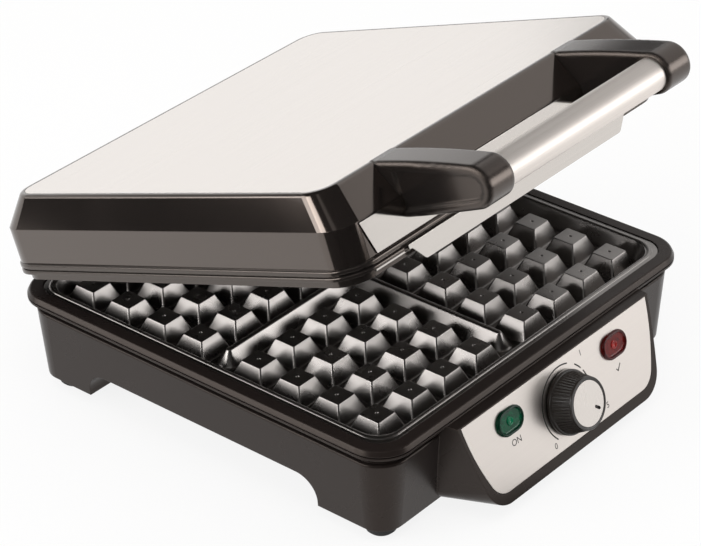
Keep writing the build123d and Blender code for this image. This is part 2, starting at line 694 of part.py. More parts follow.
# Lid ring: the lid's lower frame, with two ridges round it and the hinge knuckles behind
ridge_low = LID_LIFT + LID_LIP_HEIGHT
groove_low = ridge_low + RIDGE_HEIGHT
ridge_high = groove_low + GROOVE_HEIGHT
with BuildPart() as lid_ring:
    with BuildSketch(lid_level(LID_LIFT)):
        rounded_square(lid_lip, RING_RADIUS)
    extrude(amount=LID_LIP_HEIGHT)
    with BuildSketch(lid_level(ridge_low)):
        rounded_square(ridge_width, ridge_radius)
    extrude(amount=RIDGE_HEIGHT)
    fillet(faces().sort_by(lid_axis)[-1].edges(), RIDGE_ROUND)
    with BuildSketch(lid_level(groove_low)):
        rounded_square(ridge_width - 2 * GROOVE_DEPTH, ridge_radius)
    extrude(amount=GROOVE_HEIGHT)
    with BuildSketch(lid_level(ridge_high)):
        rounded_square(ridge_width, ridge_radius)
    extrude(amount=RIDGE_HEIGHT)
    fillet(faces().sort_by(lid_axis)[-1].edges(), RIDGE_ROUND)
    for side_sign in (-1, 1):
        with BuildSketch(lid_side(side_sign * HINGE_X)):
            with Locations((hinge_reach, HINGE_RISE)):
                Circle(KNUCKLE_RADIUS)
            with Locations((lid_lip / 2, ridge_low + KNUCKLE_ROOT / 2)):
                Rectangle(WALL, KNUCKLE_ROOT)
            make_hull()
        extrude(amount=KNUCKLE_WIDTH / 2, both=True)
    with BuildSketch(lid_side(0)):
        with Locations((hinge_reach, HINGE_RISE)):
            Circle(PIN_RADIUS + PIN_RUNNING_FIT)
    extrude(amount=lid_band, both=True, mode=Mode.SUBTRACT)
    with BuildSketch(lid_level(0)):
        rounded_square(pocket_width, PLATE_RADIUS + FIT)
    extrude(amount=upper_face + lip_under, mode=Mode.SUBTRACT)
    with BuildSketch(lid_level(0)):
        rounded_square(seat_width, PLATE_RADIUS + FIT)
    extrude(amount=2 * ring_top, mode=Mode.SUBTRACT)

# Lid cover: a moulded hood that widens to a crease, with a sunk bed for the top plate
top_plate_width = lid_top_width - 2 * (TOP_PLATE_MARGIN + FIT)
top_plate_depth = lid_top_depth - 2 * (TOP_PLATE_MARGIN + FIT)
top_plate_radius = LID_TOP_RADIUS - TOP_PLATE_MARGIN
with BuildPart() as lid_form:
    with BuildSketch(lid_level(ring_top)):
        rounded_square(lid_band, LID_BAND_RADIUS)
    extrude(amount=CREASE_HEIGHT - ring_top)
    with BuildSketch(lid_level(CREASE_HEIGHT)):
        rounded_square(lid_band, LID_BAND_RADIUS)
    with BuildSketch(lid_level(LID_TOP_HEIGHT)):
        RectangleRounded(lid_top_width, lid_top_depth, LID_TOP_RADIUS)
    loft(ruled=True)
    fillet(faces().sort_by(lid_axis)[-1].edges(), LID_TOP_ROUND)
with BuildPart() as lid_cover:
    add(lid_form.part)
    with BuildSketch(lid_level(LID_TOP_HEIGHT)):
        RectangleRounded(top_plate_width + 2 * FIT, top_plate_depth + 2 * FIT, top_plate_radius)
    extrude(amount=-TOP_PLATE_SHEET, mode=Mode.SUBTRACT)
    with BuildSketch(lid_level(ring_top)):
        rounded_square(lid_band - 2 * LID_WALL, LID_BAND_RADIUS - LID_WALL)
    extrude(amount=CREASE_HEIGHT - ring_top, mode=Mode.SUBTRACT)
    with BuildSketch(lid_level(CREASE_HEIGHT)):
        rounded_square(lid_band - 2 * LID_WALL, LID_BAND_RADIUS - LID_WALL)
    with BuildSketch(lid_level(LID_TOP_HEIGHT - TOP_PLATE_SHEET - LID_WALL)):
        RectangleRounded(lid_top_width - 2 * LID_WALL, lid_top_depth - 2 * LID_WALL, LID_TOP_RADIUS - LID_WALL)
    loft(ruled=True, mode=Mode.SUBTRACT)
    with BuildSketch(lid_front(lid_band / 2)):
        screw_holes(SCREW_RADIUS + SCREW_FIT)
    extrude(amount=-LID_WALL, mode=Mode.SUBTRACT)
with BuildPart() as lid_top_plate:
    with BuildSketch(lid_level(LID_TOP_HEIGHT)):
        RectangleRounded(top_plate_width, top_plate_depth, top_plate_radius - FIT)
    extrude(amount=-TOP_PLATE_SHEET)

# Front trim: a bright sheet on the lid's front band, and the apron under it that laps over the rim
with BuildPart() as front_trim:
    with BuildSketch(lid_front(lid_band / 2)):
        trim_top = CREASE_HEIGHT - TRIM_MARGIN
        trim_foot = ring_top + TRIM_MARGIN
        with BuildLine():
            Polyline((-trim_top_half, trim_top), (-trim_foot_half, trim_foot),
                     (trim_foot_half, trim_foot), (trim_top_half, trim_top), close=True)
        make_face()
    extrude(amount=TRIM_SHEET)
    with BuildSketch(lid_front(lid_band / 2)):
        screw_holes(SCREW_RADIUS + SCREW_FIT)
    extrude(amount=TRIM_SHEET, mode=Mode.SUBTRACT)
apron_face = rim_foot / 2 + FIT + APRON_SHEET
apron_top = ridge_low + APRON_RISE
apron_shoulder = APRON_HALF + APRON_SHOULDER
with BuildPart() as front_apron:
    with BuildSketch(lid_front(lid_lip / 2)):
        with Locations((0, ridge_low - STRIP_HEIGHT / 2)):
            Rectangle(2 * STRIP_HALF, STRIP_HEIGHT)
    extrude(amount=APRON_SHEET)
    with BuildSketch(lid_front(lid_lip / 2)):
        with Locations((0, (LID_LIFT + ridge_low) / 2)):
            Rectangle(2 * APRON_LEDGE, LID_LIP_HEIGHT)
    extrude(amount=apron_face - lid_lip / 2)
    with BuildSketch(lid_front(apron_face)):
        with BuildLine():
            right_edge = Polyline((0, apron_top), (apron_shoulder + APRON_END, apron_top),
                                  (apron_shoulder + APRON_END, apron_top - STRIP_HEIGHT),
                                  (apron_shoulder, apron_top - STRIP_HEIGHT),
                                  (APRON_HALF, -APRON_DROP), (0, -APRON_DROP))
            mirror(right_edge, about=Plane.YZ)
        make_face()
        bends = vertices().filter_by_position(Axis.X, -apron_shoulder, apron_shoulder)
        fillet(bends.filter_by_position(Axis.Y, -APRON_DROP, apron_top - STRIP_HEIGHT), APRON_CORNER)
    extrude(amount=-APRON_SHEET)


# Handle: two moulded arms on the lid's front, a steel tube between them and their screws
def arm_outline(inset, reach):
    """Side view of an arm: a round tip about the bar, and two bowed edges running back to the lid."""
    root = (-reach, ARM_ROOT_TOP - inset)
    foot = (-reach, ARM_ROOT_FOOT + inset)
    with BuildLine() as outline:
        tip = CenterArc((-bar_reach, BAR_HEIGHT), ARM_TIP - inset, 90 + ARM_RAKE, 180 - 2 * ARM_RAKE)
        TangentArc(tip @ 0, root, tangent=-(tip % 0))
        TangentArc(tip @ 1, foot, tangent=tip % 1)
        Line(foot, root)
    make_face(outline.edges())


def handle_arm(sign):
    inner = lid_side(sign * ARM_INNER)
    outer = lid_side(sign * (ARM_INNER + ARM_WIDTH))
    with BuildPart() as arm:
        with BuildSketch(inner):
            arm_outline(0, arm_root_reach)
        extrude(amount=sign * ARM_WIDTH)
        fillet(edges().filter_by(GeomType.CIRCLE), ARM_ROUND)
        with BuildSketch(outer):
            arm_outline(ARM_PANEL_INSET, lid_band / 2)
        extrude(amount=-sign * ARM_PANEL_DEPTH, mode=Mode.SUBTRACT)
        with BuildSketch(inner):
            with Locations((-bar_reach, BAR_HEIGHT)):
                Circle(BAR_RADIUS + BAR_FIT)
        extrude(amount=sign * BAR_SOCKET, mode=Mode.SUBTRACT)
        add(lid_form.part, mode=Mode.SUBTRACT)
        add(front_trim.part, mode=Mode.SUBTRACT)
        with BuildSketch(lid_front(lid_band / 2)):
            screw_holes(SCREW_RADIUS)
        extrude(amount=SCREW_LENGTH, mode=Mode.SUBTRACT)
    return arm


handle_arm_left = handle_arm(-1)
handle_arm_right = handle_arm(1)
with BuildPart() as handle_bar:
    with BuildSketch(lid_side(0)):
        with Locations((-bar_reach, BAR_HEIGHT)):
            Circle(BAR_RADIUS)
            Circle(BAR_RADIUS - BAR_SHEET, mode=Mode.SUBTRACT)
    extrude(amount=ARM_INNER + BAR_SOCKET, both=True)
with BuildPart() as handle_screws:
    with BuildSketch(lid_front(lid_band / 2 - LID_WALL)):
        screw_holes(SCREW_HEAD_RADIUS)
    extrude(amount=-SCREW_HEAD)
    with BuildSketch(lid_front(lid_band / 2 - LID_WALL)):
        screw_holes(SCREW_RADIUS)
    extrude(amount=SCREW_LENGTH)

pieces = {
    "base_housing": base_housing,
    "bottom_cover": bottom_cover,
    "rubber_feet": rubber_feet,
    "lower_plate": lower_plate,
    "lower_heater": lower_heater,
    "lower_reflector": lower_reflector,
    "control_faceplate": control_faceplate,
    "power_lens": power_lens,
    "ready_lens": ready_lens,
    "power_bulb": power_bulb,
    "ready_bulb": ready_bulb,
    "thermostat": thermostat,
    "thermal_fuse": thermal_fuse,
    "terminal_block": terminal_block,
    "cord_gland": cord_gland,
    "hinge_pins": hinge_pins,
    "knob": knob,
    "knob_cap": knob_cap,
    "spindle": spindle,
    "lid_ring": lid_ring,
    "lid_cover": lid_cover,
    "lid_top_plate": lid_top_plate,
    "front_trim": front_trim,
    "front_apron": front_apron,
    "upper_plate": upper_plate,
    "upper_heater": upper_heater,
    "upper_reflector": upper_reflector,
    "handle_arm_left": handle_arm_left,
    "handle_arm_right": handle_arm_right,
    "handle_bar": handle_bar,
    "handle_screws": handle_screws,
}
for name, builder in pieces.items():
    save(name, builder)
    print(name, [round(v, 1) for v in builder.part.bounding_box().size])
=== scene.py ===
# %% [markdown]
# # A four-slice waffle maker, dressed for the camera
# The solids of this appliance were drawn in CAD and packed as one model with three bodies: a base
# that stands still, a lid on a hinge and a dial on its spindle. This notebook loads that model,
# gives every piece the finish that the real material has, and rebuilds the few pieces whose small
# forms the solids leave out. The scene is in metres, and small forms are drawn in millimetres.

import math

import bmesh
import bpy
from mathutils import Matrix, Vector


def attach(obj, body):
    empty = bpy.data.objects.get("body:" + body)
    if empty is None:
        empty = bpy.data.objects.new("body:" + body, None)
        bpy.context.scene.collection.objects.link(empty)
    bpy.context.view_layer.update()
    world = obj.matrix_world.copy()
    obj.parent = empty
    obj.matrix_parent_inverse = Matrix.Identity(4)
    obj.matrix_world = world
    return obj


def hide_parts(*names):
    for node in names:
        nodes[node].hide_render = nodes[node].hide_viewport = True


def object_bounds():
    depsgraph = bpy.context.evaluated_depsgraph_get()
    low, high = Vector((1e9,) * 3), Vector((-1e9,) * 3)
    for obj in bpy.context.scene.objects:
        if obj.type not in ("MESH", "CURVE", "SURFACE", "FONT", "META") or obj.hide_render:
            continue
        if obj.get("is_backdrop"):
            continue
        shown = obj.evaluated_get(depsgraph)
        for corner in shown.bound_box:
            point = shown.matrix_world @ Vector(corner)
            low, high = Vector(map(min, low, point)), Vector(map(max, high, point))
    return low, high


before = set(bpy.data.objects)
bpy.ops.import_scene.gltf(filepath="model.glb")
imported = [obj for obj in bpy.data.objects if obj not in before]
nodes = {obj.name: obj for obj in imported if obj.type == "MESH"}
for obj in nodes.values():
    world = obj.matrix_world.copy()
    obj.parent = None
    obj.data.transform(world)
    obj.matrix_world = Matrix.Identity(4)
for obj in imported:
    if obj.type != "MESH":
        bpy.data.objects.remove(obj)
scene = bpy.context.scene
cad_low, cad_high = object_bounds()
MM = 0.001


def new_object(name, data):
    """A new object in the scene."""
    obj = bpy.data.objects.new(name, data)
    scene.collection.objects.link(obj)
    return obj


# %% [markdown]
# ## Where things are
# The lid stands ajar, so nothing on it is square to the world. It helps to draw such a piece in the
# lid's own flat coordinates and to carry it to its place with one matrix. The control panel leans
# as well and gets the same treatment. These four matrices are the only placing that the rest of the
# notebook needs.

# %% Matrices of the lid, the two waffle plates and the control panel
PLATE_Y = 9 * MM
DECK_Z = 60.5 * MM
HINGE = Vector((0, 146 * MM, 61 * MM))
HINGE_ON_LID = Vector((0, 137 * MM, 0.5 * MM))
LID_AJAR = math.radians(19.7)
PLATE_GAP = 4 * MM
PANEL_LEAN = math.radians(19.5)
PANEL_TOP = Vector((0, -126.5 * MM, 55.9 * MM))

on_lid = (
    Matrix.Translation(HINGE)
    @ Matrix.Rotation(-LID_AJAR, 4, "X")
    @ Matrix.Translation(-HINGE_ON_LID)
)
on_deck = Matrix.Translation((0, PLATE_Y, DECK_Z))
under_lid = on_lid @ Matrix.Translation((0, 0, PLATE_GAP)) @ Matrix.Rotation(math.pi, 4, "X")

panel_out = Vector((0, -math.cos(PANEL_LEAN), math.sin(PANEL_LEAN)))
panel_up = Vector((0, math.sin(PANEL_LEAN), math.cos(PANEL_LEAN)))
sheet_points = [v.co - PANEL_TOP for v in nodes["control_faceplate"].data.vertices]
panel_face = max(point.dot(panel_out) for point in sheet_points)
panel_axes = Matrix((Vector((1, 0, 0)), panel_up, panel_out)).transposed().to_4x4()
on_panel = Matrix.Translation(PANEL_TOP + panel_out * panel_face) @ panel_axes


def panel_spot(right_by, up_by, out_by=0.0):
    """The matrix of a spot on the panel, in millimetres from the middle of its top edge."""
    return on_panel @ Matrix.Translation((right_by * MM, up_by * MM, out_by * MM))


print("the panel's face is", round(panel_face / MM, 2), "mm in front of its plane")

# %% [markdown]
# ## The camera
# The photograph was taken with a long lens from the front left, looking down on the lid. The place,
# the aim and the slight roll were solved from the grid of pins, which is a good ruler because all
# its steps are equal.

# %% Camera at the photograph's view
PHOTO_WIDTH = 701  # pixels
PHOTO_FOCAL = 2793  # pixels
SENSOR = 36.0  # mm
CAMERA_AT = Vector((-0.9683, -0.8253, 0.8413))
CAMERA_AIM = Vector((-0.0051, 0.0062, 0.0605))
CAMERA_ROLL = math.radians(-1.37)

camera_data = bpy.data.cameras.new("photo_camera")
camera_data.sensor_fit = "HORIZONTAL"
camera_data.sensor_width = SENSOR
camera_data.lens = SENSOR * PHOTO_FOCAL / PHOTO_WIDTH
camera_data.clip_start = 0.05
camera = new_object("photo_camera", camera_data)
scene.camera = camera

forward = (CAMERA_AIM - CAMERA_AT).normalized()
right = forward.cross(Vector((0, 0, 1))).normalized()
above = right.cross(forward)
camera_x = right * math.cos(CAMERA_ROLL) + above * math.sin(CAMERA_ROLL)
camera_y = above * math.cos(CAMERA_ROLL) - right * math.sin(CAMERA_ROLL)
turned = Matrix((camera_x, camera_y, -forward)).transposed().to_4x4()
camera.matrix_world = Matrix.Translation(CAMERA_AT) @ turned
print("lens", round(camera_data.lens, 1), "mm at", round((CAMERA_AT - CAMERA_AIM).length, 3), "m")

# %% [markdown]
# ## The studio
# A product shot of a black and steel appliance is mostly a picture of what the surfaces reflect.
# The room has a white backdrop that goes up a little way from the floor, a dim ceiling and six soft
# boxes. The world is plain white for the camera, shows the backdrop and the ceiling to reflections,
# and is a soft light for everything else.

# %% World: white backdrop, dim ceiling, soft fill
scene.view_settings.view_transform = "Standard"
BACKDROP_TOP = 0.22
CEILING_FROM = 0.46
CEILING_LIGHT = 0.04
FILL_LIGHT = 0.62
FILL_COLOUR = (1.0, 0.985, 0.965, 1)

world = bpy.data.worlds.new("studio")
scene.world = world
world.use_nodes = True
room = world.node_tree
room.nodes.clear()


def add(tree, kind, values=(), **settings):
    """A new node with its own settings, and plain values for its inputs by name or place."""
    node = tree.nodes.new(kind)
    for key, value in settings.items():
        setattr(node, key, value)
    for socket, value in dict(values).items():
        node.inputs[socket].default_value = value
    return node


def wire(tree, *links):
    """Links nodes: each link is a node and its output, then a node and its input."""
    for source, output, target, socket in links:
        tree.links.new(source.outputs[output], target.inputs[socket])


def seen_rays(tree):
    """A mask of the rays that show a thing: straight, in a reflection or through a lens."""
    ray = add(tree, "ShaderNodeLightPath")
    straight = add(tree, "ShaderNodeMath", operation="ADD")
    seen = add(tree, "ShaderNodeMath", operation="ADD", use_clamp=True)
    wire(
        tree,
        (ray, "Is Camera Ray", straight, 0),
        (ray, "Is Glossy Ray", straight, 1),
        (straight, 0, seen, 0),
        (ray, "Is Transmission Ray", seen, 1),
    )
    return seen


where = add(room, "ShaderNodeTexCoord")
height = add(room, "ShaderNodeSeparateXYZ")
backdrop = add(
    room,
    "ShaderNodeMapRange",
    {"From Min": BACKDROP_TOP, "From Max": CEILING_FROM, "To Min": 1.0, "To Max": CEILING_LIGHT},
    interpolation_type="SMOOTHSTEP",
)
room_ray = add(room, "ShaderNodeLightPath")
shown = add(room, "ShaderNodeMath", operation="MAXIMUM")
white_room = add(room, "ShaderNodeBackground", {"Color": (1, 1, 1, 1)})
fill = add(room, "ShaderNodeBackground", {"Color": FILL_COLOUR, "Strength": FILL_LIGHT})
pick = add(room, "ShaderNodeMixShader")
room_out = add(room, "ShaderNodeOutputWorld")
wire(
    room,
    (where, "Generated", height, 0),
    (height, "Z", backdrop, "Value"),
    (backdrop, "Result", shown, 0),
    (room_ray, "Is Camera Ray", shown, 1),
    (shown, 0, white_room, "Strength"),
    (seen_rays(room), 0, pick, 0),
    (fill, 0, pick, 1),
    (white_room, 0, pick, 2),
    (pick, 0, room_out, "Surface"),
)
print("world with", len(room.nodes), "nodes")

# %% [markdown]
# The floor is pale and matt. To the camera it is lifted to the white of the backdrop, as a lit
# paper sweep would be, and it keeps a faint shadow so that the appliance stands on something. The
# dark flags are sheets of black card that photographers stand beside gloss black goods: only
# reflections see them. One card lies on the floor and is partly painted shade: near the base it
# darkens the reflected floor where the appliance's shadow falls, which the lifted paper does not
# show in reflections. It has a clear patch at the near corner of the base, so that the leg there
# still reflects pale paper.

# %% Floor and flags
FLOOR_REACH = 9.0
FLOOR_WHITE = 0.86
FLOOR_TONE = (0.87, 0.87, 0.87, 1)
FLOOR_DROP = 0.0002  # keeps the paper clear of the feet
FLOOR_CORNERS = ((-1, -1), (1, -1), (1, 1), (-1, 1))


def sheet_between(name, corners):
    """A flat staged sheet with the given corners."""
    mesh = bpy.data.meshes.new(name)
    mesh.from_pydata([tuple(c) for c in corners], [], [tuple(range(len(corners)))])
    sheet = new_object(name, mesh)
    sheet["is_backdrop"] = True
    return sheet


floor = sheet_between(
    "studio_floor", [(x * FLOOR_REACH, y * FLOOR_REACH, -FLOOR_DROP) for x, y in FLOOR_CORNERS]
)
paper = bpy.data.materials.new("floor_paper")
paper.use_nodes = True
sweep = paper.node_tree
sweep.nodes.clear()
matt = add(sweep, "ShaderNodeBsdfDiffuse", {"Color": FLOOR_TONE})
lit = add(sweep, "ShaderNodeEmission", {"Strength": 1.0})
share = add(sweep, "ShaderNodeMath", {1: FLOOR_WHITE}, operation="MULTIPLY")
blend = add(sweep, "ShaderNodeMixShader")
sweep_out = add(sweep, "ShaderNodeOutputMaterial")
wire(
    sweep,
    (seen_rays(sweep), 0, share, 0),
    (share, 0, blend, 0),
    (matt, 0, blend, 1),
    (lit, 0, blend, 2),
    (blend, 0, sweep_out, "Surface"),
)
floor.data.materials.append(paper)


def around(turn, distance, z):
    """A point of the room at a compass turn from +X, in degrees."""
    angle = math.radians(turn)
    return Vector((distance * math.cos(angle), distance * math.sin(angle), z))


def card(name, corners):
    """A black card that only reflections see."""
    sheet = sheet_between(name, corners)
    sheet.data.materials.append(card_black)
    sheet.visible_camera = False
    sheet.visible_diffuse = False
    sheet.visible_shadow = False
    sheet.visible_transmission = False
    return sheet


def flag(name, from_turn, to_turn, distance, low, high):
    """A card that stands beside the object, from one compass turn to another."""
    corners = ((from_turn, low), (to_turn, low), (to_turn, high), (from_turn, high))
    return card(name, [around(turn, distance, z) for turn, z in corners])


card_black = bpy.data.materials.new("card_black")
card_black.use_nodes = True
card_shader = card_black.node_tree.nodes["Principled BSDF"]
card_shader.inputs["Base Color"].default_value = (0.01, 0.01, 0.01, 1)
card_shader.inputs["Roughness"].default_value = 0.9
# Each flag runs from one turn to another, in degrees, at a distance, from a low to a high edge,
# in metres.
FLAGS = {
    "flag_left": (120, 150, 1.0, 0.0, 0.12),
    "flag_camera": (184, 264, 2.3, 0.0, 0.95),
    "flag_front": (264, 288, 2.3, 0.0, 0.95),
    "flag_trim": (286, 304, 1.5, 0.0, 0.19),
    "flag_back": (24, 39, 1.0, 0.27, 0.44),
}
# The floor card: partly a black card, partly painted shade of the floor near the base.
FLOOR_CARD_AND_SHADOW = [
    (-0.21, -0.072), (-2.3, 0.34), (-2.3, -2.3), (0.34, -2.3), (-0.05, -0.25), (0.0, -0.16),
    (0.0, -0.090), (-0.060, -0.090), (-0.060, -0.14), (-0.11, -0.21), (-0.21, -0.21),
]
FLOOR_CARD_AND_SHADOW_LIFT = 0.0004
flags = [flag(name, *stand) for name, stand in FLAGS.items()]
flags.append(card("flag_floor", [(x, y, FLOOR_CARD_AND_SHADOW_LIFT) for x, y in FLOOR_CARD_AND_SHADOW]))
print("floor and", len(flags), "flags")

# %% [markdown]
# Six soft boxes: a large one overhead for the general light, one at the back left and one low at
# the front right, which are what the sides of the pins reflect towards the camera, one at the left
# that draws the bright streak on the lid's front corner, and two wide, weak ones: high at the right
# for the upper half of the bar, and above the camera for the sheet on the lid when it is seen from
# behind. The overhead one is kept out of reflections, so that the gloss black stays black on top.

# %% Soft boxes


def soft_box(name, at, aim, width, height, power):
    """A rectangular area lamp aimed at a point."""
    lamp = bpy.data.lights.new(name, "AREA")
    lamp.shape = "RECTANGLE"
    lamp.size = width
    lamp.size_y = height
    lamp.energy = power
    box = new_object(name, lamp)
    facing = (aim - at).to_track_quat("-Z", "Y").to_matrix().to_4x4()
    box.matrix_world = Matrix.Translation(at) @ facing
    box.visible_camera = False
    return box


MIDDLE = Vector((0, 0, 0.08))
OVERHEAD_AT = Vector((-0.35, -0.45, 1.9))
OVERHEAD_SIZE = 1.5
OVERHEAD_WATTS = 12
overhead = soft_box(
    "soft_box_above", OVERHEAD_AT, MIDDLE, OVERHEAD_SIZE, OVERHEAD_SIZE, OVERHEAD_WATTS
)
overhead.visible_glossy = False
# Each box has a turn in degrees, a distance and a height, its own width and height, all in metres,
# and its watts.
SOFT_BOXES = {
    "soft_box_back_left": (139, 1.5, 0.55, 0.80, 0.80, 6.3),
    "soft_box_front_right": (307, 1.55, 0.49, 0.90, 0.62, 5.1),
    "soft_box_streak": (166, 1.5, 0.72, 0.76, 0.48, 6.8),
    "soft_box_right": (358, 1.5, 1.26, 2.2, 0.9, 5.0),
    "soft_box_camera": (212, 1.6, 1.75, 1.8, 1.0, 1.9),
}
for box_name, (box_turn, box_distance, box_z, box_width, box_height, watts) in SOFT_BOXES.items():
    soft_box(box_name, around(box_turn, box_distance, box_z), MIDDLE, box_width, box_height, watts)

# %% [markdown]
# ## Shared effects
# Several finishes share the same small truths: moulded plastic has a fine grain, handled gloss has
# patches that are a little duller, rolled steel has lines along one way, and no edge is truly
# sharp. Each of these is built once as a shader group and then placed in a material with that
# material's own numbers.

# %% Helper for groups


def effect(name, inputs, outputs):
    """An empty shader group with float or vector sockets."""
    group = bpy.data.node_groups.new(name, "ShaderNodeTree")
    for label, value in inputs:
        kind = "NodeSocketFloat" if isinstance(value, float) else "NodeSocketVector"
        socket = group.interface.new_socket(label, in_out="INPUT", socket_type=kind)
        socket.default_value = value
    for label, kind in outputs:
        group.interface.new_socket(label, in_out="OUTPUT", socket_type=kind)
    return group, add(group, "NodeGroupInput"), add(group, "NodeGroupOutput")


# %% [markdown]
# Soft edges: the Bevel node blends the normal across an edge, as a small moulding radius does, and
# the difference from the flat normal gives a mask of the edges, where moulded finishes paint a
# highlight in the colour.

# %% Effect: soft edges
EDGE_BEGINS = 0.995  # cosines between the blended and the flat normal
EDGE_FULL = 0.80
soft_edges, edge_in, edge_out = effect(
    "soft edges",
    [("Radius", 0.0005)],
    [("Normal", "NodeSocketVector"), ("Edge", "NodeSocketFloat")],
)
rounder = add(soft_edges, "ShaderNodeBevel", samples=4)
flat = add(soft_edges, "ShaderNodeNewGeometry")
alike = add(soft_edges, "ShaderNodeVectorMath", operation="DOT_PRODUCT")
# Mask of the edges, where moulded finishes paint a highlight in the colour.
edge_highlight_mask = add(soft_edges, "ShaderNodeMapRange", {"From Min": EDGE_BEGINS, "From Max": EDGE_FULL})
wire(
    soft_edges,
    (edge_in, "Radius", rounder, "Radius"),
    (rounder, 0, alike, 0),
    (flat, "Normal", alike, 1),
    (alike, "Value", edge_highlight_mask, "Value"),
    (rounder, 0, edge_out, "Normal"),
    (edge_highlight_mask, "Result", edge_out, "Edge"),
)
print("built", soft_edges.name)

# %% [markdown]
# Moulded grain: two sizes of noise. The fine one is the texture that the tool leaves in the plastic
# and goes to the bump, and the coarse one makes the gloss uneven, which is what tells plastic from
# paint.

# %% Effect: moulded grain
moulded_grain, grain_in, grain_out = effect(
    "moulded grain",
    [("Grain", 1500.0), ("Patch", 28.0), ("Roughness", 0.4), ("Spread", 0.1)],
    [(label, "NodeSocketFloat") for label in ("Height", "Roughness", "Patch")],
)
here = add(moulded_grain, "ShaderNodeTexCoord")
fine = add(moulded_grain, "ShaderNodeTexNoise", {"Detail": 3.0})
coarse = add(moulded_grain, "ShaderNodeTexNoise", {"Detail": 4.0})
centred = add(moulded_grain, "ShaderNodeMath", {1: 0.5}, operation="SUBTRACT")
scaled = add(moulded_grain, "ShaderNodeMath", operation="MULTIPLY_ADD", use_clamp=True)
wire(
    moulded_grain,
    (here, "Object", fine, "Vector"),
    (here, "Object", coarse, "Vector"),
    (grain_in, "Grain", fine, "Scale"),
    (grain_in, "Patch", coarse, "Scale"),
    (coarse, "Fac", centred, 0),
    (centred, 0, scaled, 0),
    (grain_in, "Spread", scaled, 1),
    (grain_in, "Roughness", scaled, 2),
    (fine, "Fac", grain_out, "Height"),
    (scaled, 0, grain_out, "Roughness"),
    (coarse, "Fac", grain_out, "Patch"),
)
print("built", moulded_grain.name)

# %% [markdown]
# Brushed lines: noise that is stretched along the way the belt ran. The stretch is an input, so
# that one group serves the sheet on the lid, the control panel and the bar.

# %% Effect: brushed lines
brushed_lines, brush_in, brush_out = effect(
    "brushed lines",
    [("Stretch", Vector((6, 1400, 1400))), ("Roughness", 0.25), ("Spread", 0.15)],
    [(label, "NodeSocketFloat") for label in ("Height", "Roughness", "Streak")],
)
spot = add(brushed_lines, "ShaderNodeTexCoord")
stretch = add(brushed_lines, "ShaderNodeVectorMath", operation="MULTIPLY")
lines = add(brushed_lines, "ShaderNodeTexNoise", {"Scale": 1.0, "Detail": 4.0, "Roughness": 0.65})
middle = add(brushed_lines, "ShaderNodeMath", {1: 0.5}, operation="SUBTRACT")
dulled = add(brushed_lines, "ShaderNodeMath", operation="MULTIPLY_ADD", use_clamp=True)
wire(
    brushed_lines,
    (spot, "Object", stretch, 0),
    (brush_in, "Stretch", stretch, 1),
    (stretch, 0, lines, "Vector"),
    (lines, "Fac", middle, 0),
    (middle, 0, dulled, 0),
    (brush_in, "Spread", dulled, 1),
    (brush_in, "Roughness", dulled, 2),
    (lines, "Fac", brush_out, "Height"),
    (dulled, 0, brush_out, "Roughness"),
    (lines, "Fac", brush_out, "Streak"),
)
print("built", brushed_lines.name)

# %% [markdown]
# ## Finishes
# Two makers cover nearly everything here. Plastics, rubbers and coatings take the moulded grain and
# a painted highlight that makes their edges a little lighter than the flat. Sheet and turned metals
# take the brushed lines.
# Both have soft edges.

# %% Makers of finishes
METAL_EDGE = 0.0003
LENS_GRAIN_DEPTH = 0.000002


def place(tree, group, **values):
    """Puts a shared effect into a material with that material's values."""
    return add(tree, "ShaderNodeGroup", values, node_tree=group)


def start_finish(name, **sockets):
    """A material whose shader has the given plain values."""
    material = bpy.data.materials.new(name)
    material.use_nodes = True
    shader = material.node_tree.nodes["Principled BSDF"]
    for label, value in sockets.items():
        shader.inputs[label.replace("_", " ")].default_value = value
    return material, material.node_tree, shader


def lead_colour(tree, shader, node, mask, plain, marked):
    """Leads a colour between two to the shader, by a node's mask."""
    mix = add(tree, "ShaderNodeMix", {"A": (*plain, 1), "B": (*marked, 1)}, data_type="RGBA")
    wire(tree, (node, mask, mix, "Factor"), (mix, "Result", shader, "Base Color"))


def lead_surface(tree, shader, texture, depth, edges=None):
    """Leads an effect's height and roughness to the shader, on top of soft edges if it has them."""
    bump = add(tree, "ShaderNodeBump", {"Strength": 1.0, "Distance": depth})
    wire(
        tree,
        (texture, "Height", bump, "Height"),
        (texture, "Roughness", shader, "Roughness"),
        (bump, 0, shader, "Normal"),
    )
    if edges:
        wire(tree, (edges, "Normal", bump, "Normal"))


def moulded(
    name, colour, painted_highlight_colour, *, grain, patch, roughness, spread, depth, radius, **sockets
):
    """A moulded or coated finish: grain in the bump, uneven gloss, a painted highlight on the
    edges.
    """
    material, tree, shader = start_finish(name, **sockets)
    texture = place(
        tree, moulded_grain, Grain=grain, Patch=patch, Roughness=roughness, Spread=spread
    )
    edges = place(tree, soft_edges, Radius=radius)
    lead_surface(tree, shader, texture, depth, edges)
    # The edges get a painted highlight: a lighter colour by the mask.
    lead_colour(tree, shader, edges, "Edge", colour, painted_highlight_colour)
    return material


def rolled(name, colour, streak_colour, *, stretch, roughness, spread, depth):
    """A metal finish: lines in the bump, the gloss and the colour."""
    material, tree, shader = start_finish(name, Metallic=1.0)
    texture = place(tree, brushed_lines, Stretch=stretch, Roughness=roughness, Spread=spread)
    edges = place(tree, soft_edges, Radius=METAL_EDGE)
    lead_surface(tree, shader, texture, depth, edges)
    lead_colour(tree, shader, texture, "Streak", colour, streak_colour)
    return material


def paint(finish, *names):
    """Puts a finish on CAD nodes."""
    for name in names:
        node = nodes[name]
        if not node.material_slots:
            node.data.materials.append(finish)
        for slot in node.material_slots:
            slot.material = finish
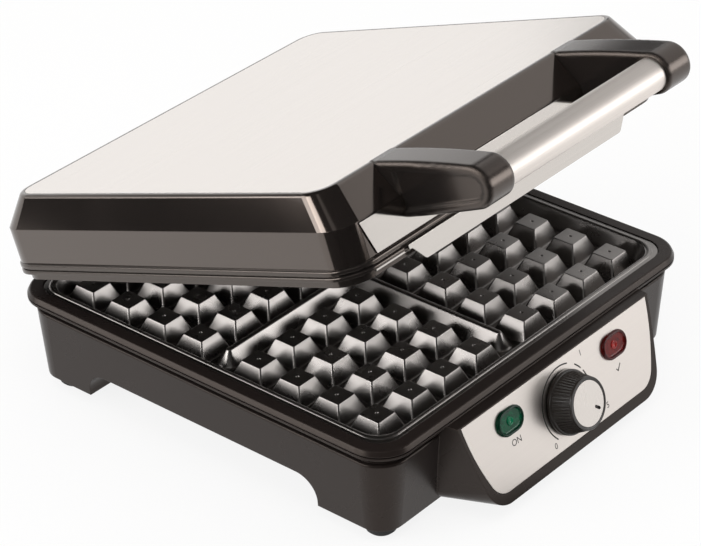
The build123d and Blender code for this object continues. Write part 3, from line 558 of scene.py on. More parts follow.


# %% [markdown]
# Plastics. The lid is lacquer-bright, the frame under it and the arms are a little softer, and the
# base is satin with a warm tone. All are nearly black: what shows is the room in their gloss.

# %% Plastic and rubber finishes
# Each finish's second colour is the painted highlight on its edges.
lid_gloss = moulded(
    "lid_gloss_black", (0.008, 0.0065, 0.006), (0.02, 0.018, 0.017),
    grain=900, patch=22, roughness=0.11, spread=0.08, depth=0.000003, radius=0.0006,
    IOR=1.9, Specular_Tint=(1.0, 0.80, 0.68, 1), Coat_Weight=0.5, Coat_Roughness=0.04,
)
ring_gloss = moulded(
    "ring_black", (0.010, 0.0085, 0.008), (0.03, 0.027, 0.025),
    grain=1100, patch=24, roughness=0.18, spread=0.12, depth=0.000005, radius=0.0005,
    IOR=1.75, Specular_Tint=(1.0, 0.82, 0.70, 1), Coat_Weight=0.25, Coat_Roughness=0.06,
)
arm_satin = moulded(
    "arm_black", (0.010, 0.0085, 0.008), (0.03, 0.027, 0.025),
    grain=1300, patch=26, roughness=0.20, spread=0.12, depth=0.000005, radius=0.0028,
    IOR=1.72, Specular_Tint=(1.0, 0.80, 0.68, 1), Coat_Weight=0.15, Coat_Roughness=0.08,
)
base_satin = moulded(
    "base_satin_black", (0.014, 0.0105, 0.0095), (0.04, 0.032, 0.029),
    grain=1600, patch=20, roughness=0.28, spread=0.12, depth=0.000006, radius=0.0006,
    IOR=1.37, Specular_Tint=(1.0, 0.84, 0.74, 1),
)
knob_black = moulded(
    "knob_black", (0.018, 0.0145, 0.0125), (0.055, 0.046, 0.04),
    grain=1800, patch=40, roughness=0.34, spread=0.15, depth=0.000008, radius=0.0003,
)
foot_rubber = moulded(
    "foot_rubber", (0.02, 0.02, 0.02), (0.05, 0.05, 0.05),
    grain=2400, patch=60, roughness=0.75, spread=0.15, depth=0.00003, radius=0.0005,
)
gland_rubber = moulded(
    "gland_rubber", (0.016, 0.015, 0.015), (0.045, 0.042, 0.04),
    grain=2400, patch=60, roughness=0.6, spread=0.15, depth=0.00002, radius=0.0004,
)
case_resin = moulded(
    "case_resin", (0.035, 0.022, 0.015), (0.09, 0.06, 0.045),
    grain=1700, patch=50, roughness=0.45, spread=0.15, depth=0.00001, radius=0.0004,
)
block_ceramic = moulded(
    "block_ceramic", (0.62, 0.59, 0.53), (0.78, 0.76, 0.71),
    grain=2000, patch=70, roughness=0.5, spread=0.2, depth=0.000012, radius=0.0004,
)
print("plastics:", [m.name for m in (lid_gloss, ring_gloss, arm_satin, base_satin, knob_black)])

# %% [markdown]
# The non-stick coating is a dark film with a metal sheen over cast aluminium. It is sprayed, so it
# has a fine orange-peel surface, and a painted highlight makes its edges a little lighter.

# %% Non-stick finish
# The second colour is the painted highlight on the coating's edges.
nonstick = moulded(
    "nonstick_coating", (0.28, 0.262, 0.25), (0.33, 0.31, 0.297),
    grain=1900, patch=36, roughness=0.28, spread=0.10, depth=0.0000008, radius=0.0002,
    Metallic=1.0,
)
print("coating:", nonstick.name)

# %% [markdown]
# Metals. The sheet on the lid and the control panel are brushed along their width, the trim under
# the lid's edge is nearly a mirror, and the bar is drawn tube with a satin polish along its length.

# %% Metal finishes
lid_steel = rolled(
    "lid_brushed_steel", (0.93, 0.875, 0.83), (0.89, 0.835, 0.79),
    stretch=Vector((5, 1500, 1500)), roughness=0.26, spread=0.10, depth=0.000001,
)
panel_steel = rolled(
    "panel_satin_steel", (0.74, 0.685, 0.64), (0.69, 0.635, 0.595),
    stretch=Vector((9, 1700, 1700)), roughness=0.30, spread=0.10, depth=0.0000015,
)
trim_steel = rolled(
    "trim_polished_steel", (0.71, 0.665, 0.625), (0.66, 0.62, 0.58),
    stretch=Vector((8, 900, 900)), roughness=0.08, spread=0.06, depth=0.000001,
)
bar_steel = rolled(
    "bar_polished_steel", (0.86, 0.80, 0.75), (0.78, 0.72, 0.675),
    stretch=Vector((4, 1200, 1200)), roughness=0.50, spread=0.12, depth=0.000002,
)
cap_metal = rolled(
    "cap_spun_metal", (0.73, 0.68, 0.64), (0.68, 0.635, 0.595),
    stretch=Vector((1200, 60, 60)), roughness=0.26, spread=0.10, depth=0.0000015,
)
pin_steel = rolled(
    "pin_steel", (0.55, 0.53, 0.51), (0.42, 0.40, 0.39),
    stretch=Vector((40, 1200, 1200)), roughness=0.28, spread=0.15, depth=0.000004,
)
screw_steel = rolled(
    "screw_steel", (0.52, 0.51, 0.49), (0.38, 0.37, 0.36),
    stretch=Vector((700, 700, 700)), roughness=0.32, spread=0.18, depth=0.000004,
)
heater_steel = rolled(
    "heater_steel", (0.30, 0.26, 0.23), (0.16, 0.13, 0.13),
    stretch=Vector((180, 180, 180)), roughness=0.42, spread=0.25, depth=0.00001,
)
reflector_sheet = rolled(
    "reflector_sheet", (0.68, 0.68, 0.68), (0.52, 0.52, 0.53),
    stretch=Vector((90, 90, 700)), roughness=0.34, spread=0.2, depth=0.000008,
)
fuse_metal = rolled(
    "fuse_metal", (0.66, 0.62, 0.52), (0.50, 0.46, 0.38),
    stretch=Vector((300, 300, 300)), roughness=0.3, spread=0.2, depth=0.000006,
)
print("metals:", [m.name for m in (lid_steel, panel_steel, trim_steel, bar_steel, cap_metal)])

# %% [markdown]
# Lamps. The lenses are tinted acrylic over a dark well, so most of what they show is their own deep
# colour. Their colour has painted light in it: a painted glow makes a lens lighter where it is
# thin, in the middle, and painted shade makes its thick rim nearly black. The mesh carries that
# painted glow as an attribute, and a slow noise keeps the tint from being even.

# %% Lens and bulb finishes


def tinted(name, painted_shade_tint, painted_glow_tint):
    """A tinted acrylic lens, whose colour goes from a painted shade tint to a painted glow tint."""
    acrylic = {"Transmission_Weight": 0.3, "IOR": 1.49, "Specular_IOR_Level": 0.2}
    material, tree, shader = start_finish(name, **acrylic)
    texture = place(tree, moulded_grain, Grain=700.0, Patch=420.0, Roughness=0.10, Spread=0.10)
    lead_surface(tree, shader, texture, LENS_GRAIN_DEPTH)
    # The painted glow: light painted where the lens is thin, shade painted where it is thick.
    glow = add(tree, "ShaderNodeAttribute", attribute_name="glow")
    depth = add(tree, "ShaderNodeMath", operation="MULTIPLY")
    wire(tree, (glow, "Fac", depth, 0), (texture, "Patch", depth, 1))
    lead_colour(tree, shader, depth, 0, painted_shade_tint, painted_glow_tint)
    return material


# Each lens: its painted shade tint, then its painted glow tint.
green_lens = tinted("green_lens", (0.001, 0.008, 0.005), (0.004, 0.30, 0.13))
red_lens = tinted("red_lens", (0.020, 0.001, 0.001), (0.62, 0.035, 0.03))
# The second colour is the painted highlight on the bulb's edges.
bulb_glass = moulded(
    "bulb_glass", (0.75, 0.70, 0.62), (0.9, 0.86, 0.8),
    grain=600, patch=90, roughness=0.12, spread=0.1, depth=0.000004, radius=0.0003,
    Coat_Weight=0.8, Coat_Roughness=0.04,
)
print("lamps:", [m.name for m in (green_lens, red_lens, bulb_glass)])

# %% [markdown]
# Every solid gets its finish by name, also the ones inside, which show when the appliance is taken
# apart.

# %% Paint the solids
paint(lid_gloss, "lid_cover")
paint(ring_gloss, "lid_ring")
paint(arm_satin, "handle_arm_left", "handle_arm_right")
paint(base_satin, "base_housing", "bottom_cover")
paint(knob_black, "knob")
paint(foot_rubber, "rubber_feet")
paint(gland_rubber, "cord_gland")
paint(case_resin, "thermostat")
paint(block_ceramic, "terminal_block")
paint(nonstick, "lower_plate", "upper_plate")
paint(lid_steel, "lid_top_plate")
paint(panel_steel, "control_faceplate")
paint(trim_steel, "front_trim", "front_apron")
paint(bar_steel, "handle_bar")
paint(cap_metal, "knob_cap")
paint(pin_steel, "hinge_pins", "spindle")
paint(screw_steel, "handle_screws")
paint(heater_steel, "lower_heater", "upper_heater")
paint(reflector_sheet, "lower_reflector", "upper_reflector")
paint(fuse_metal, "thermal_fuse")
paint(green_lens, "power_lens")
paint(red_lens, "ready_lens")
paint(bulb_glass, "power_bulb", "ready_bulb")
print("painted", len(nodes), "solids")

# %% [markdown]
# ## Drawing in loops
# The waffle plates, the lenses and the knob are turned, in a sense: a plan outline that grows and
# shrinks with height. A list of loops with the same number of points is the plainest way to say
# that, and it leaves clean quads that carry soft edges. The next helpers skin such loops, finish
# the mesh and hand it over as a piece.

# %% Helpers for loops
SHARP_FROM = math.radians(50)


def rounded_loop(half, radius, z, steps):
    """A square with round corners, anticlockwise, in millimetres."""
    points = []
    for quarter, (sx, sy) in enumerate(((1, 1), (-1, 1), (-1, -1), (1, -1))):
        for step in range(steps + 1):
            turn = math.pi / 2 * (quarter + step / steps)
            x = sx * (half - radius) + radius * math.cos(turn)
            y = sy * (half - radius) + radius * math.sin(turn)
            points.append(Vector((x, y, z)))
    return points


def circle(radius, z, count, first=0.0):
    """A circle of points, whose first point is moved on by a part of a step."""
    turns = [2 * math.pi * (i + first) / count for i in range(count)]
    return [Vector((radius * math.cos(t), radius * math.sin(t), z)) for t in turns]


def skin(bm, loops):
    """A closed skin over the loops, first to last, in metres."""
    rings = [[bm.verts.new(p * MM) for p in loop] for loop in loops]
    count = len(rings[0])
    for lower, upper in zip(rings, rings[1:]):
        for i in range(count):
            j = (i + 1) % count
            bm.faces.new((lower[i], lower[j], upper[j], upper[i]))
    bm.faces.new(reversed(rings[0]))
    bm.faces.new(rings[-1])


def skinned(name, *stacks):
    """A smooth mesh of skinned stacks of loops, with its normals outward and real edges kept."""
    bm = bmesh.new()
    for loops in stacks:
        skin(bm, loops)
    bmesh.ops.recalc_face_normals(bm, faces=bm.faces)
    mesh = bpy.data.meshes.new(name)
    bm.to_mesh(mesh)
    bm.free()
    mesh.shade_smooth()
    mesh.set_sharp_from_angle(angle=SHARP_FROM)
    return mesh


def plain_mesh(carrier):
    """What an object draws, as a plain mesh with the object's name. The object goes."""
    drawn = carrier.evaluated_get(bpy.context.evaluated_depsgraph_get())
    mesh = bpy.data.meshes.new_from_object(drawn)
    mesh.name = carrier.name
    bpy.data.objects.remove(carrier)
    return mesh


def placed(name, place_at, *parts):
    """Several meshes joined into one and carried to their place."""
    bm = bmesh.new()
    for part in parts:
        bm.from_mesh(part)
    bm.transform(place_at)
    mesh = bpy.data.meshes.new(name)
    bm.to_mesh(mesh)
    bm.free()
    return mesh


def piece(name, mesh, body, slot, finish, *stands_for):
    """A finished piece that rides on a body and may stand for CAD nodes."""
    mesh.materials.clear()
    mesh.materials.append(finish)
    obj = new_object(name, mesh)
    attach(obj, body)
    if stands_for:
        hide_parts(*stands_for)
    return obj


# %% [markdown]
# ## The waffle plates
# Both plates are the same casting: a pan with a bead round it, a cross of ribs that parts the four
# waffles and sixty-four tapered pins. The solids have the pins with sharp edges, while the casting
# has a small radius on every edge, a fillet at each foot and a dimple in each pin's top. One pin is
# drawn with those forms, and Geometry Nodes set it out on the grid, because the grid is a rule and
# the rule is easier to read than sixty-four copies.

# %% One pin
PIN_HEIGHT = 10.0
PIN_FOOT_HALF = 11.0
PIN_TOP_HALF = 6.5
PIN_PITCH = 26.0
PINS_PER_ROW = 4
FIELD_PITCH = 118.4


def pin_half(z):
    """Half the width of the pin's flat sides at a height below its top."""
    return PIN_TOP_HALF - (PIN_FOOT_HALF - PIN_TOP_HALF) * z / PIN_HEIGHT


# Half width, corner radius and height, from the foot fillet to the edge of the top.
PIN_PROFILE = [
    (11.9, 2.0, -10.3),
    (11.6, 1.9, -9.9),
    (pin_half(-9.1), 1.6, -9.1),
    (pin_half(-0.35), 0.9, -0.35),
    (pin_half(0) - 0.1, 0.85, -0.05),
    (pin_half(0) - 0.32, 0.8, 0.0),
]
DIMPLE_PROFILE = [(1.0, 0.0), (0.78, -0.36), (0.4, -0.55)]  # radius and height

pin_mesh = skinned(
    "waffle_pin",
    [rounded_loop(half, radius, z, steps=2) for half, radius, z in PIN_PROFILE]
    + [circle(radius, z, 12, first=0.5) for radius, z in DIMPLE_PROFILE],
)
print("one pin has", len(pin_mesh.polygons), "faces")

# %% [markdown]
# The grid is nested: four by four pins make a field, and two by two fields make a plate. The tree
# takes the pitch, the rows and the distance between fields as inputs, and ends by making the pins
# real, so that what is left is one plain mesh. The helpers serve the two other trees of this
# notebook as well.

# %% Geometry Nodes: pins on two nested grids


def tree_with(name, inputs):
    """An empty geometry tree with the given inputs and its ends."""
    tree = bpy.data.node_groups.new(name, "GeometryNodeTree")
    for label, kind in inputs:
        tree.interface.new_socket(label, in_out="INPUT", socket_type=kind)
    tree.interface.new_socket("Geometry", in_out="OUTPUT", socket_type="NodeSocketGeometry")
    return tree, add(tree, "NodeGroupInput"), add(tree, "NodeGroupOutput")


def close_tree(tree, tree_in, tree_out, last):
    """Ends a tree: what its last node sets out is made real and gets the finish."""
    made_real = add(tree, "GeometryNodeRealizeInstances")
    finished = add(tree, "GeometryNodeSetMaterial")
    wire(
        tree,
        (last, 0, made_real, "Geometry"),
        (made_real, "Geometry", finished, "Geometry"),
        (tree_in, "Finish", finished, "Material"),
        (finished, "Geometry", tree_out, "Geometry"),
    )


def grow(name, tree, values):
    """Runs a tree with the given inputs and returns its result as a plain mesh."""
    carrier = new_object(name, bpy.data.meshes.new(name))
    nodes_of = carrier.modifiers.new("grow", "NODES")
    nodes_of.node_group = tree
    for item in tree.interface.items_tree:
        if item.item_type == "SOCKET" and item.in_out == "INPUT":
            nodes_of[item.identifier] = values[item.name]
    return plain_mesh(carrier)


pin_grid, pins_in, pins_out = tree_with(
    "pins on a grid",
    [
        ("Pin", "NodeSocketObject"),
        ("Pitch", "NodeSocketFloat"),
        ("Rows", "NodeSocketInt"),
        ("Field pitch", "NodeSocketFloat"),
        ("Finish", "NodeSocketMaterial"),
    ],
)
steps = add(pin_grid, "ShaderNodeMath", {1: 1.0}, operation="SUBTRACT")
span = add(pin_grid, "ShaderNodeMath", operation="MULTIPLY")
one_field = add(pin_grid, "GeometryNodeMeshGrid")
four_fields = add(pin_grid, "GeometryNodeMeshGrid", {"Vertices X": 2, "Vertices Y": 2})
the_pin = add(pin_grid, "GeometryNodeObjectInfo")
pins_on_field = add(pin_grid, "GeometryNodeInstanceOnPoints")
fields_on_plate = add(pin_grid, "GeometryNodeInstanceOnPoints")
wire(
    pin_grid,
    (pins_in, "Rows", steps, 0),
    (steps, 0, span, 0),
    (pins_in, "Pitch", span, 1),
    (pins_in, "Rows", one_field, "Vertices X"),
    (pins_in, "Rows", one_field, "Vertices Y"),
    (span, 0, one_field, "Size X"),
    (span, 0, one_field, "Size Y"),
    (pins_in, "Field pitch", four_fields, "Size X"),
    (pins_in, "Field pitch", four_fields, "Size Y"),
    (pins_in, "Pin", the_pin, "Object"),
    (one_field, "Mesh", pins_on_field, "Points"),
    (the_pin, "Geometry", pins_on_field, "Instance"),
    (four_fields, "Mesh", fields_on_plate, "Points"),
    (pins_on_field, "Instances", fields_on_plate, "Instance"),
)
close_tree(pin_grid, pins_in, pins_out, fields_on_plate)

pin_source = new_object("waffle_pin", pin_mesh)
pins_mesh = grow(
    "waffle_pins",
    pin_grid,
    {
        "Pin": pin_source,
        "Pitch": PIN_PITCH * MM,
        "Rows": PINS_PER_ROW,
        "Field pitch": FIELD_PITCH * MM,
        "Finish": nonstick,
    },
)
bpy.data.objects.remove(pin_source)
print("all pins have", len(pins_mesh.polygons), "faces")

# %% [markdown]
# The pan is a stack of rounded squares from its back, out to the lip, over the bead and down the
# flared wall. The cross of ribs is a stack too, of an outline with four round ends and four small
# inner corners.

# %% Pan and ribs
RIB_HALF_LENGTH = 104.85
RIB_HALF_WIDTH = 6.3
RIB_DRAFT = math.tan(math.radians(30))
INNER_CORNER = 1.5
CORNER_STEPS = 3
END_STEPS = 8


def cross_loop(inset, z):
    """The outline of the cross of ribs, drawn in from its foot."""
    wide = RIB_HALF_WIDTH - inset
    end = RIB_HALF_LENGTH - inset - wide
    points = []
    for quarter in range(4):
        turn = Matrix.Rotation(math.pi / 2 * quarter, 3, "Z")
        for step in range(CORNER_STEPS + 1):
            a = math.pi - math.pi / 2 * step / CORNER_STEPS
            x = wide + INNER_CORNER * (1 + math.cos(a))
            y = -wide - INNER_CORNER * (1 - math.sin(a))
            points.append(turn @ Vector((x, y, z)))
        for step in range(END_STEPS + 1):
            a = math.pi * (step / END_STEPS - 0.5)
            points.append(turn @ Vector((end + wide * math.cos(a), wide * math.sin(a), z)))
    return points


def rib_inset(z):
    """How far the drafted side has come in at a height below the pins' tops."""
    return (z + PIN_HEIGHT) * RIB_DRAFT


# Half width, corner radius and height: the back, the lip, the bead, the flared wall and the floor.
PAN_PROFILE = [
    (116.0, 12.5, -13.0),
    (116.8, 13.0, -12.4),
    (116.8, 13.0, -2.6),
    (120.5, 13.0, -2.6),
    (120.7, 13.0, -2.3),
    (120.7, 13.0, -0.3),
    (120.4, 13.0, 0.0),
    (118.8, 13.0, 0.0),
    (118.55, 13.0, 0.2),
    (118.4, 13.0, 0.5),
    (118.0, 13.1, 0.75),
    (117.4, 13.2, 0.8),
    (116.7, 13.3, 0.75),
    (116.2, 13.4, 0.5),
    (115.75, 13.3, 0.0),
    (112.4, 9.9, -8.0),
    (111.7, 9.2, -9.2),
    (110.7, 8.8, -9.8),
    (109.4, 8.5, -10.0),
]
# Inset and height: the foot fillet, the drafted side and the rounded top.
RIB_PROFILE = [
    (-0.9, -10.3),
    (-0.9, -10.0),
    (-0.3, -9.75),
    (rib_inset(-9.1), -9.1),
    (rib_inset(-2.1), -2.1),
    (rib_inset(-1.75) + 0.08, -1.75),
    (rib_inset(-1.52) + 0.25, -1.52),
    (rib_inset(-1.42) + 0.55, -1.42),
    (rib_inset(-1.4) + 0.85, -1.4),
]

pan_mesh = skinned(
    "waffle_pan", [rounded_loop(half, radius, z, steps=8) for half, radius, z in PAN_PROFILE]
)
rib_mesh = skinned("waffle_ribs", [cross_loop(inset, z) for inset, z in RIB_PROFILE])
print("pan", len(pan_mesh.polygons), "faces, ribs", len(rib_mesh.polygons), "faces")

# %% [markdown]
# The pan, the ribs and the pins become one casting. It is set on the deck and, turned over, under
# the lid. Weighted normals keep the large faces flat beside their small radii.

# %% Put the castings in place


def cast(name, place_at, body, stands_for):
    """One waffle plate from the pan, the ribs and the pins."""
    mesh = placed(name, place_at, pan_mesh, rib_mesh, pins_mesh)
    plate = piece(name, mesh, body, "nonstick", nonstick, stands_for)
    even = plate.modifiers.new("even_normals", "WEIGHTED_NORMAL")
    even.weight = 80
    even.keep_sharp = True
    return plate


castings = [
    cast("lower_waffle_plate", on_deck, "base", "lower_plate"),
    cast("upper_waffle_plate", under_lid, "lid", "upper_plate"),
]
print("castings:", {casting.name: len(casting.data.polygons) for casting in castings}, "faces")

# %% [markdown]
# ## The lamps' lenses
# Each lens is a moulded obround with a rounded rim, a sunk face and a small ring in the middle,
# which carries the brightest painted glow. The rim stands proud of the panel, so it draws a thin
# bright line round the colour.

# %% Lens forms
LENS_HALF_LENGTH = 10.2
LENS_HALF_WIDTH = 6.9
LAMP_X = 44.6
LAMP_DROP = 12.0


def lens_loop(inset, z, steps=10):
    """An obround, drawn in from the lens's outline."""
    radius = LENS_HALF_WIDTH - inset
    centre = LENS_HALF_LENGTH - LENS_HALF_WIDTH
    points = []
    for sign in (1, -1):
        for step in range(steps + 1):
            a = math.pi * (step / steps - 0.5) + (0 if sign > 0 else math.pi)
            points.append(Vector((sign * centre + radius * math.cos(a), radius * math.sin(a), z)))
    return points


LENS_PROFILE = [  # inset and height: the wall, the rounded rim and the sunk face
    (0.0, -0.6),
    (0.0, 1.1),
    (0.15, 1.45),
    (0.5, 1.72),
    (0.95, 1.8),
    (1.35, 1.7),
    (1.6, 1.3),
    (1.75, 0.8),
    (2.1, 0.62),
    (2.9, 0.58),
]
RING_PROFILE = [  # radius and height
    (2.5, 0.4),
    (2.45, 0.85),
    (2.2, 1.05),
    (1.8, 1.1),
    (1.4, 0.9),
    (1.2, 0.7),
]

lens_mesh = skinned(
    "lamp_lens",
    [lens_loop(inset, z) for inset, z in LENS_PROFILE],
    [circle(radius, z, 20) for radius, z in RING_PROFILE],
)
print("a lens has", len(lens_mesh.polygons), "faces")

# %% [markdown]
# The painted glow of a point follows how thin the lens is there. The ring in the middle gets the
# most painted light, the sunk face is next, and the rim and the round ends of the wall stay dark
# with painted shade.

# %% Painted glow of the lens
# Painted glow of the ring and the sunk face, and painted shade of the rim.
RING_PAINTED_GLOW = 1.0
FACE_PAINTED_GLOW = 0.45
RIM_PAINTED_SHADE = 0.12
RING_REACH = 2.6
FACE_TOP = 1.0
FACE_HALF_WIDTH = 5.0


def painted_glow_at(point):
    """The painted glow at a point of the mesh, by thinness: painted shade on the dark rim to
    painted light on the middle ring.
    """
    if point.xy.length < RING_REACH * MM:
        return RING_PAINTED_GLOW
    on_face = point.z < FACE_TOP * MM and abs(point.y) < FACE_HALF_WIDTH * MM
    return FACE_PAINTED_GLOW if on_face else RIM_PAINTED_SHADE


painted_glow_of = lens_mesh.attributes.new("glow", "FLOAT", "POINT")
for vertex, value in zip(lens_mesh.vertices, painted_glow_of.data):
    value.value = painted_glow_at(vertex.co)
print("glow on", len(painted_glow_of.data), "points")

# %% [markdown]
# One mesh serves both lamps. Only the place and the tint differ.

# %% Put the lenses in place


def lamp(name, x, slot, finish, stands_for):
    """One lamp lens on the panel."""
    mesh = placed(name, panel_spot(x, -LAMP_DROP), lens_mesh)
    piece(name, mesh, "base", slot, finish, stands_for)


lamp("green_lamp_lens", -LAMP_X, "green_lens", green_lens, "power_lens")
lamp("red_lamp_lens", LAMP_X, "red_lens", red_lens, "ready_lens")
print("lenses at", -LAMP_X, "and", LAMP_X, "mm")

# %% [markdown]
# ## The knob
# The knob is a moulded cup with a plain skirt at the panel and a plain rim round the metal cap.
# Between the two, fine ribs give the fingers a hold. The solid has fewer and wider flutes, so the
# knob is drawn again: the cup as a stack of circles, and one rib that Geometry Nodes turn round the
# axis.

# %% One rib and the cup
DIAL_DROP = 23.5
GRIP_FOOT = Vector((16.0, 0.0, 3.1))
GRIP_TIP = Vector((13.75, 0.0, 12.7))
GRIP_COUNT = 56
GRIP_SECTION = [(-0.3, -0.5), (0.15, -0.42), (0.4, -0.16), (0.4, 0.16), (0.15, 0.42), (-0.3, 0.5)]

grip_mesh = skinned(
    "knob_rib",
    [[at + Vector((x, y, 0)) for x, y in GRIP_SECTION] for at in (GRIP_FOOT, GRIP_TIP)],
)

CUP_PROFILE = [  # radius and height: the skirt, the grip, the rim and the seat of the cap
    (17.0, 0.6),
    (17.2, 0.8),
    (17.2, 2.6),
    (16.9, 2.95),
    (16.0, 3.1),
    (13.75, 12.5),
    (14.0, 12.7),
    (14.0, 13.7),
    (13.75, 14.0),
    (12.3, 14.0),
    (12.15, 13.85),
    (12.15, 13.0),
]
cup_mesh = skinned("knob_cup", [circle(radius, z, 64) for radius, z in CUP_PROFILE])
print("the cup has", len(cup_mesh.polygons), "faces and a rib", len(grip_mesh.polygons))

# %% [markdown]
# The tree puts one point for each rib on the axis and turns each copy one step further than the
# last. The ribs and the cup become one piece, which rides on the dial.

# %% Geometry Nodes: ribs round the knob
grips, grips_in, grips_out = tree_with(
    "ribs round a knob",
    [("Rib", "NodeSocketObject"), ("Count", "NodeSocketInt"), ("Finish", "NodeSocketMaterial")],
)
axis_points = add(grips, "GeometryNodeMeshLine", {"Offset": (0, 0, 0)})
the_rib = add(grips, "GeometryNodeObjectInfo")
which_rib = add(grips, "GeometryNodeInputIndex")
one_step = add(grips, "ShaderNodeMath", {0: 2 * math.pi}, operation="DIVIDE")
this_turn = add(grips, "ShaderNodeMath", operation="MULTIPLY")
turned_by = add(grips, "FunctionNodeAxisAngleToRotation")
set_round = add(grips, "GeometryNodeInstanceOnPoints")
wire(
    grips,
    (grips_in, "Count", axis_points, "Count"),
    (grips_in, "Count", one_step, 1),
    (which_rib, "Index", this_turn, 0),
    (one_step, 0, this_turn, 1),
    (this_turn, 0, turned_by, "Angle"),
    (grips_in, "Rib", the_rib, "Object"),
    (axis_points, "Mesh", set_round, "Points"),
    (the_rib, "Geometry", set_round, "Instance"),
    (turned_by, "Rotation", set_round, "Rotation"),
)
close_tree(grips, grips_in, grips_out, set_round)

grip_source = new_object("knob_rib", grip_mesh)
grips_mesh = grow(
    "knob_ribs", grips, {"Rib": grip_source, "Count": GRIP_COUNT, "Finish": knob_black}
)
bpy.data.objects.remove(grip_source)

knob_mesh = placed("dial_knob", panel_spot(0, -DIAL_DROP), cup_mesh, grips_mesh)
piece("dial_knob", knob_mesh, "dial", "knob_plastic", knob_black, "knob")
print("the knob has", len(knob_mesh.polygons), "faces")

# %% [markdown]
# ## Printed marks
# The panel is printed with a scale round the dial: one long stroke for the part of the turn that is
# off, then four dashes that lead up to the highest setting. The numbers are plain ones. All of it
# has one ink and one height.

# %% Ink
# The second colour is a painted highlight on the print's edges.
ink = moulded(
    "panel_ink", (0.02, 0.018, 0.017), (0.03, 0.027, 0.026),
    grain=3000, patch=400, roughness=0.55, spread=0.2, depth=0.000002, radius=0.0001,
)
INK_HEIGHT = 0.04
print("ink:", ink.name)

# %% [markdown]
# Both parts of the scale follow an arc, so Geometry Nodes set short strokes along it, each turned
# to the tangent. In the second part only the first strokes of every group are kept, and the gaps
# make the dashes.

# %% Geometry Nodes: strokes round the dial
SCALE_RADIUS = 20.0
STROKE_LENGTH = 1.4
STROKE_WIDTH = 0.75
LONG_STROKES = 48
DASHED_STROKES = 40
strokes, strokes_in, strokes_out = tree_with(
    "strokes round a dial",
    [
        ("Radius", "NodeSocketFloat"),
        ("Stroke", "NodeSocketVector"),
        ("Long from", "NodeSocketFloat"),
        ("Long sweep", "NodeSocketFloat"),
        ("Dashes from", "NodeSocketFloat"),
        ("Dashes sweep", "NodeSocketFloat"),
        ("Dash strokes", "NodeSocketInt"),
        ("Group strokes", "NodeSocketInt"),
        ("Finish", "NodeSocketMaterial"),
    ],
)


def arc_of_strokes(part, count):
    """Strokes set along one part of the scale, each turned to its tangent."""
    number = add(strokes, "FunctionNodeInputInt", integer=count)
    arc = add(strokes, "GeometryNodeCurveArc")
    points = add(strokes, "GeometryNodeCurveToPoints", mode="COUNT")
    along = add(strokes, "FunctionNodeAlignRotationToVector", axis="X")
    stroke = add(strokes, "GeometryNodeMeshCube")
    set_along = add(strokes, "GeometryNodeInstanceOnPoints")
    wire(
        strokes,
        (number, 0, arc, "Resolution"),
        (strokes_in, "Radius", arc, "Radius"),
        (strokes_in, part + " from", arc, "Start Angle"),
        (strokes_in, part + " sweep", arc, "Sweep Angle"),
        (arc, "Curve", points, "Curve"),
        (number, 0, points, "Count"),
        (points, "Tangent", along, "Vector"),
        (strokes_in, "Stroke", stroke, "Size"),
        (points, "Points", set_along, "Points"),
        (stroke, "Mesh", set_along, "Instance"),
        (along, "Rotation", set_along, "Rotation"),
    )
    return set_along


long_arc = arc_of_strokes("Long", LONG_STROKES)
dashes = arc_of_strokes("Dashes", DASHED_STROKES)
which_stroke = add(strokes, "GeometryNodeInputIndex")
in_group = add(strokes, "ShaderNodeMath", operation="MODULO")
kept = add(strokes, "ShaderNodeMath", operation="LESS_THAN")
both = add(strokes, "GeometryNodeJoinGeometry")
wire(
    strokes,
    (which_stroke, "Index", in_group, 0),
    (strokes_in, "Group strokes", in_group, 1),
    (in_group, 0, kept, 0),
    (strokes_in, "Dash strokes", kept, 1),
    (kept, 0, dashes, "Selection"),
    (long_arc, "Instances", both, 0),
    (dashes, "Instances", both, 0),
)
close_tree(strokes, strokes_in, strokes_out, both)
scale_mesh = grow(
    "dial_strokes",
    strokes,
    {
        "Radius": SCALE_RADIUS * MM,
        "Stroke": Vector((STROKE_LENGTH, STROKE_WIDTH, INK_HEIGHT)) * MM,
        "Long from": math.radians(71),
        "Long sweep": math.radians(153),
        "Dashes from": math.radians(-28),
        "Dashes sweep": math.radians(78),
        "Dash strokes": 7,
        "Group strokes": 11,
        "Finish": ink,
    },
)
scale_mesh.transform(panel_spot(0, -DIAL_DROP, INK_HEIGHT / 2))
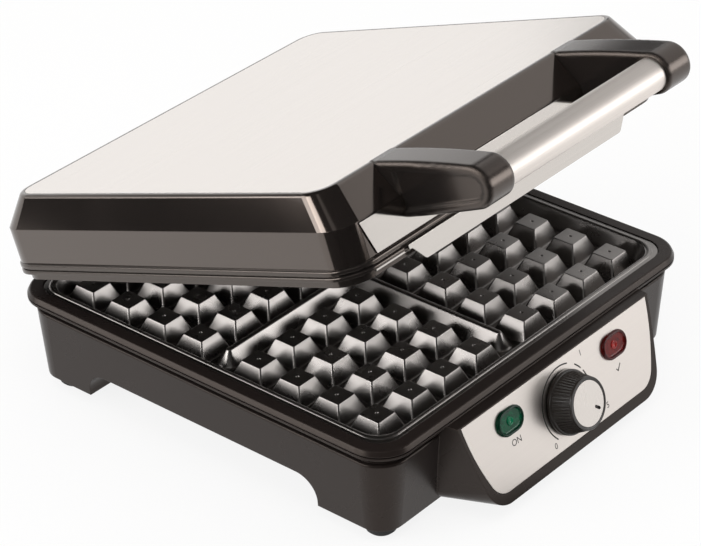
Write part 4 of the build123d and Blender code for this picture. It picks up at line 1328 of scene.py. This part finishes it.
piece("dial_strokes", scale_mesh, "base", "knob_plastic", ink)
print("dial strokes:", len(scale_mesh.polygons), "faces")

# %% [markdown]
# The numbers and the green lamp's mark are text objects that become thin meshes on the panel. The
# red lamp's tick is an outline with a thickness.

# %% Numbers and lamp marks
NUMBER_HEIGHT = 4.6
MARK_HEIGHT = 5.0
# What is printed, how far right of the panel's middle and above its top edge, and how tall, in
# millimetres.
PRINTS = {
    "dial_number_0": ("0", -16.8, -40.5, NUMBER_HEIGHT),
    "dial_number_1": ("1", 18.7, -4.5, NUMBER_HEIGHT),
    "dial_number_5": ("5", 28.7, -39.3, NUMBER_HEIGHT),
    "power_mark": ("ON", -43.2, -24.1, MARK_HEIGHT),
}
TICK_AT = (44.0, -25.3)
TICK_OUTLINE = [(-2.0, 0.1), (-0.6, -1.6), (2.4, 1.9), (1.9, 2.3), (-0.65, -0.65), (-1.55, 0.5)]


def printed(name, words, x, y, height):
    """Plain text on the panel, centred on a point, as a thin mesh."""
    curve = bpy.data.curves.new(name, "FONT")
    curve.body = words
    curve.size = height * MM
    curve.align_x = "CENTER"
    curve.align_y = "CENTER"
    curve.extrude = INK_HEIGHT * MM / 2
    mesh = plain_mesh(new_object(name, curve))
    mesh.transform(panel_spot(x, y, INK_HEIGHT / 2))
    piece(name, mesh, "base", "knob_plastic", ink)


for print_name, (words, right_by, up_by, tall) in PRINTS.items():
    printed(print_name, words, right_by, up_by, tall)

tick_mesh = skinned(
    "ready_mark", [[Vector((x, y, z)) for x, y in TICK_OUTLINE] for z in (0, INK_HEIGHT)]
)
tick_mesh.transform(panel_spot(*TICK_AT))
piece("ready_mark", tick_mesh, "base", "knob_plastic", ink)
print("printed", len(PRINTS), "texts and a tick")

# %% [markdown]
# ## Size
# The box of the dressed appliance is worked out, and how far it grows past the solids' box at its
# high corner is printed. The dressed appliance has to stay inside the solids' box.

# %% Size of the visual box
low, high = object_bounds()
grown_by = [round((b - a) / MM, 2) for a, b in zip(cad_high, high)]
print("visual box grows by", grown_by, "mm at its high corner")
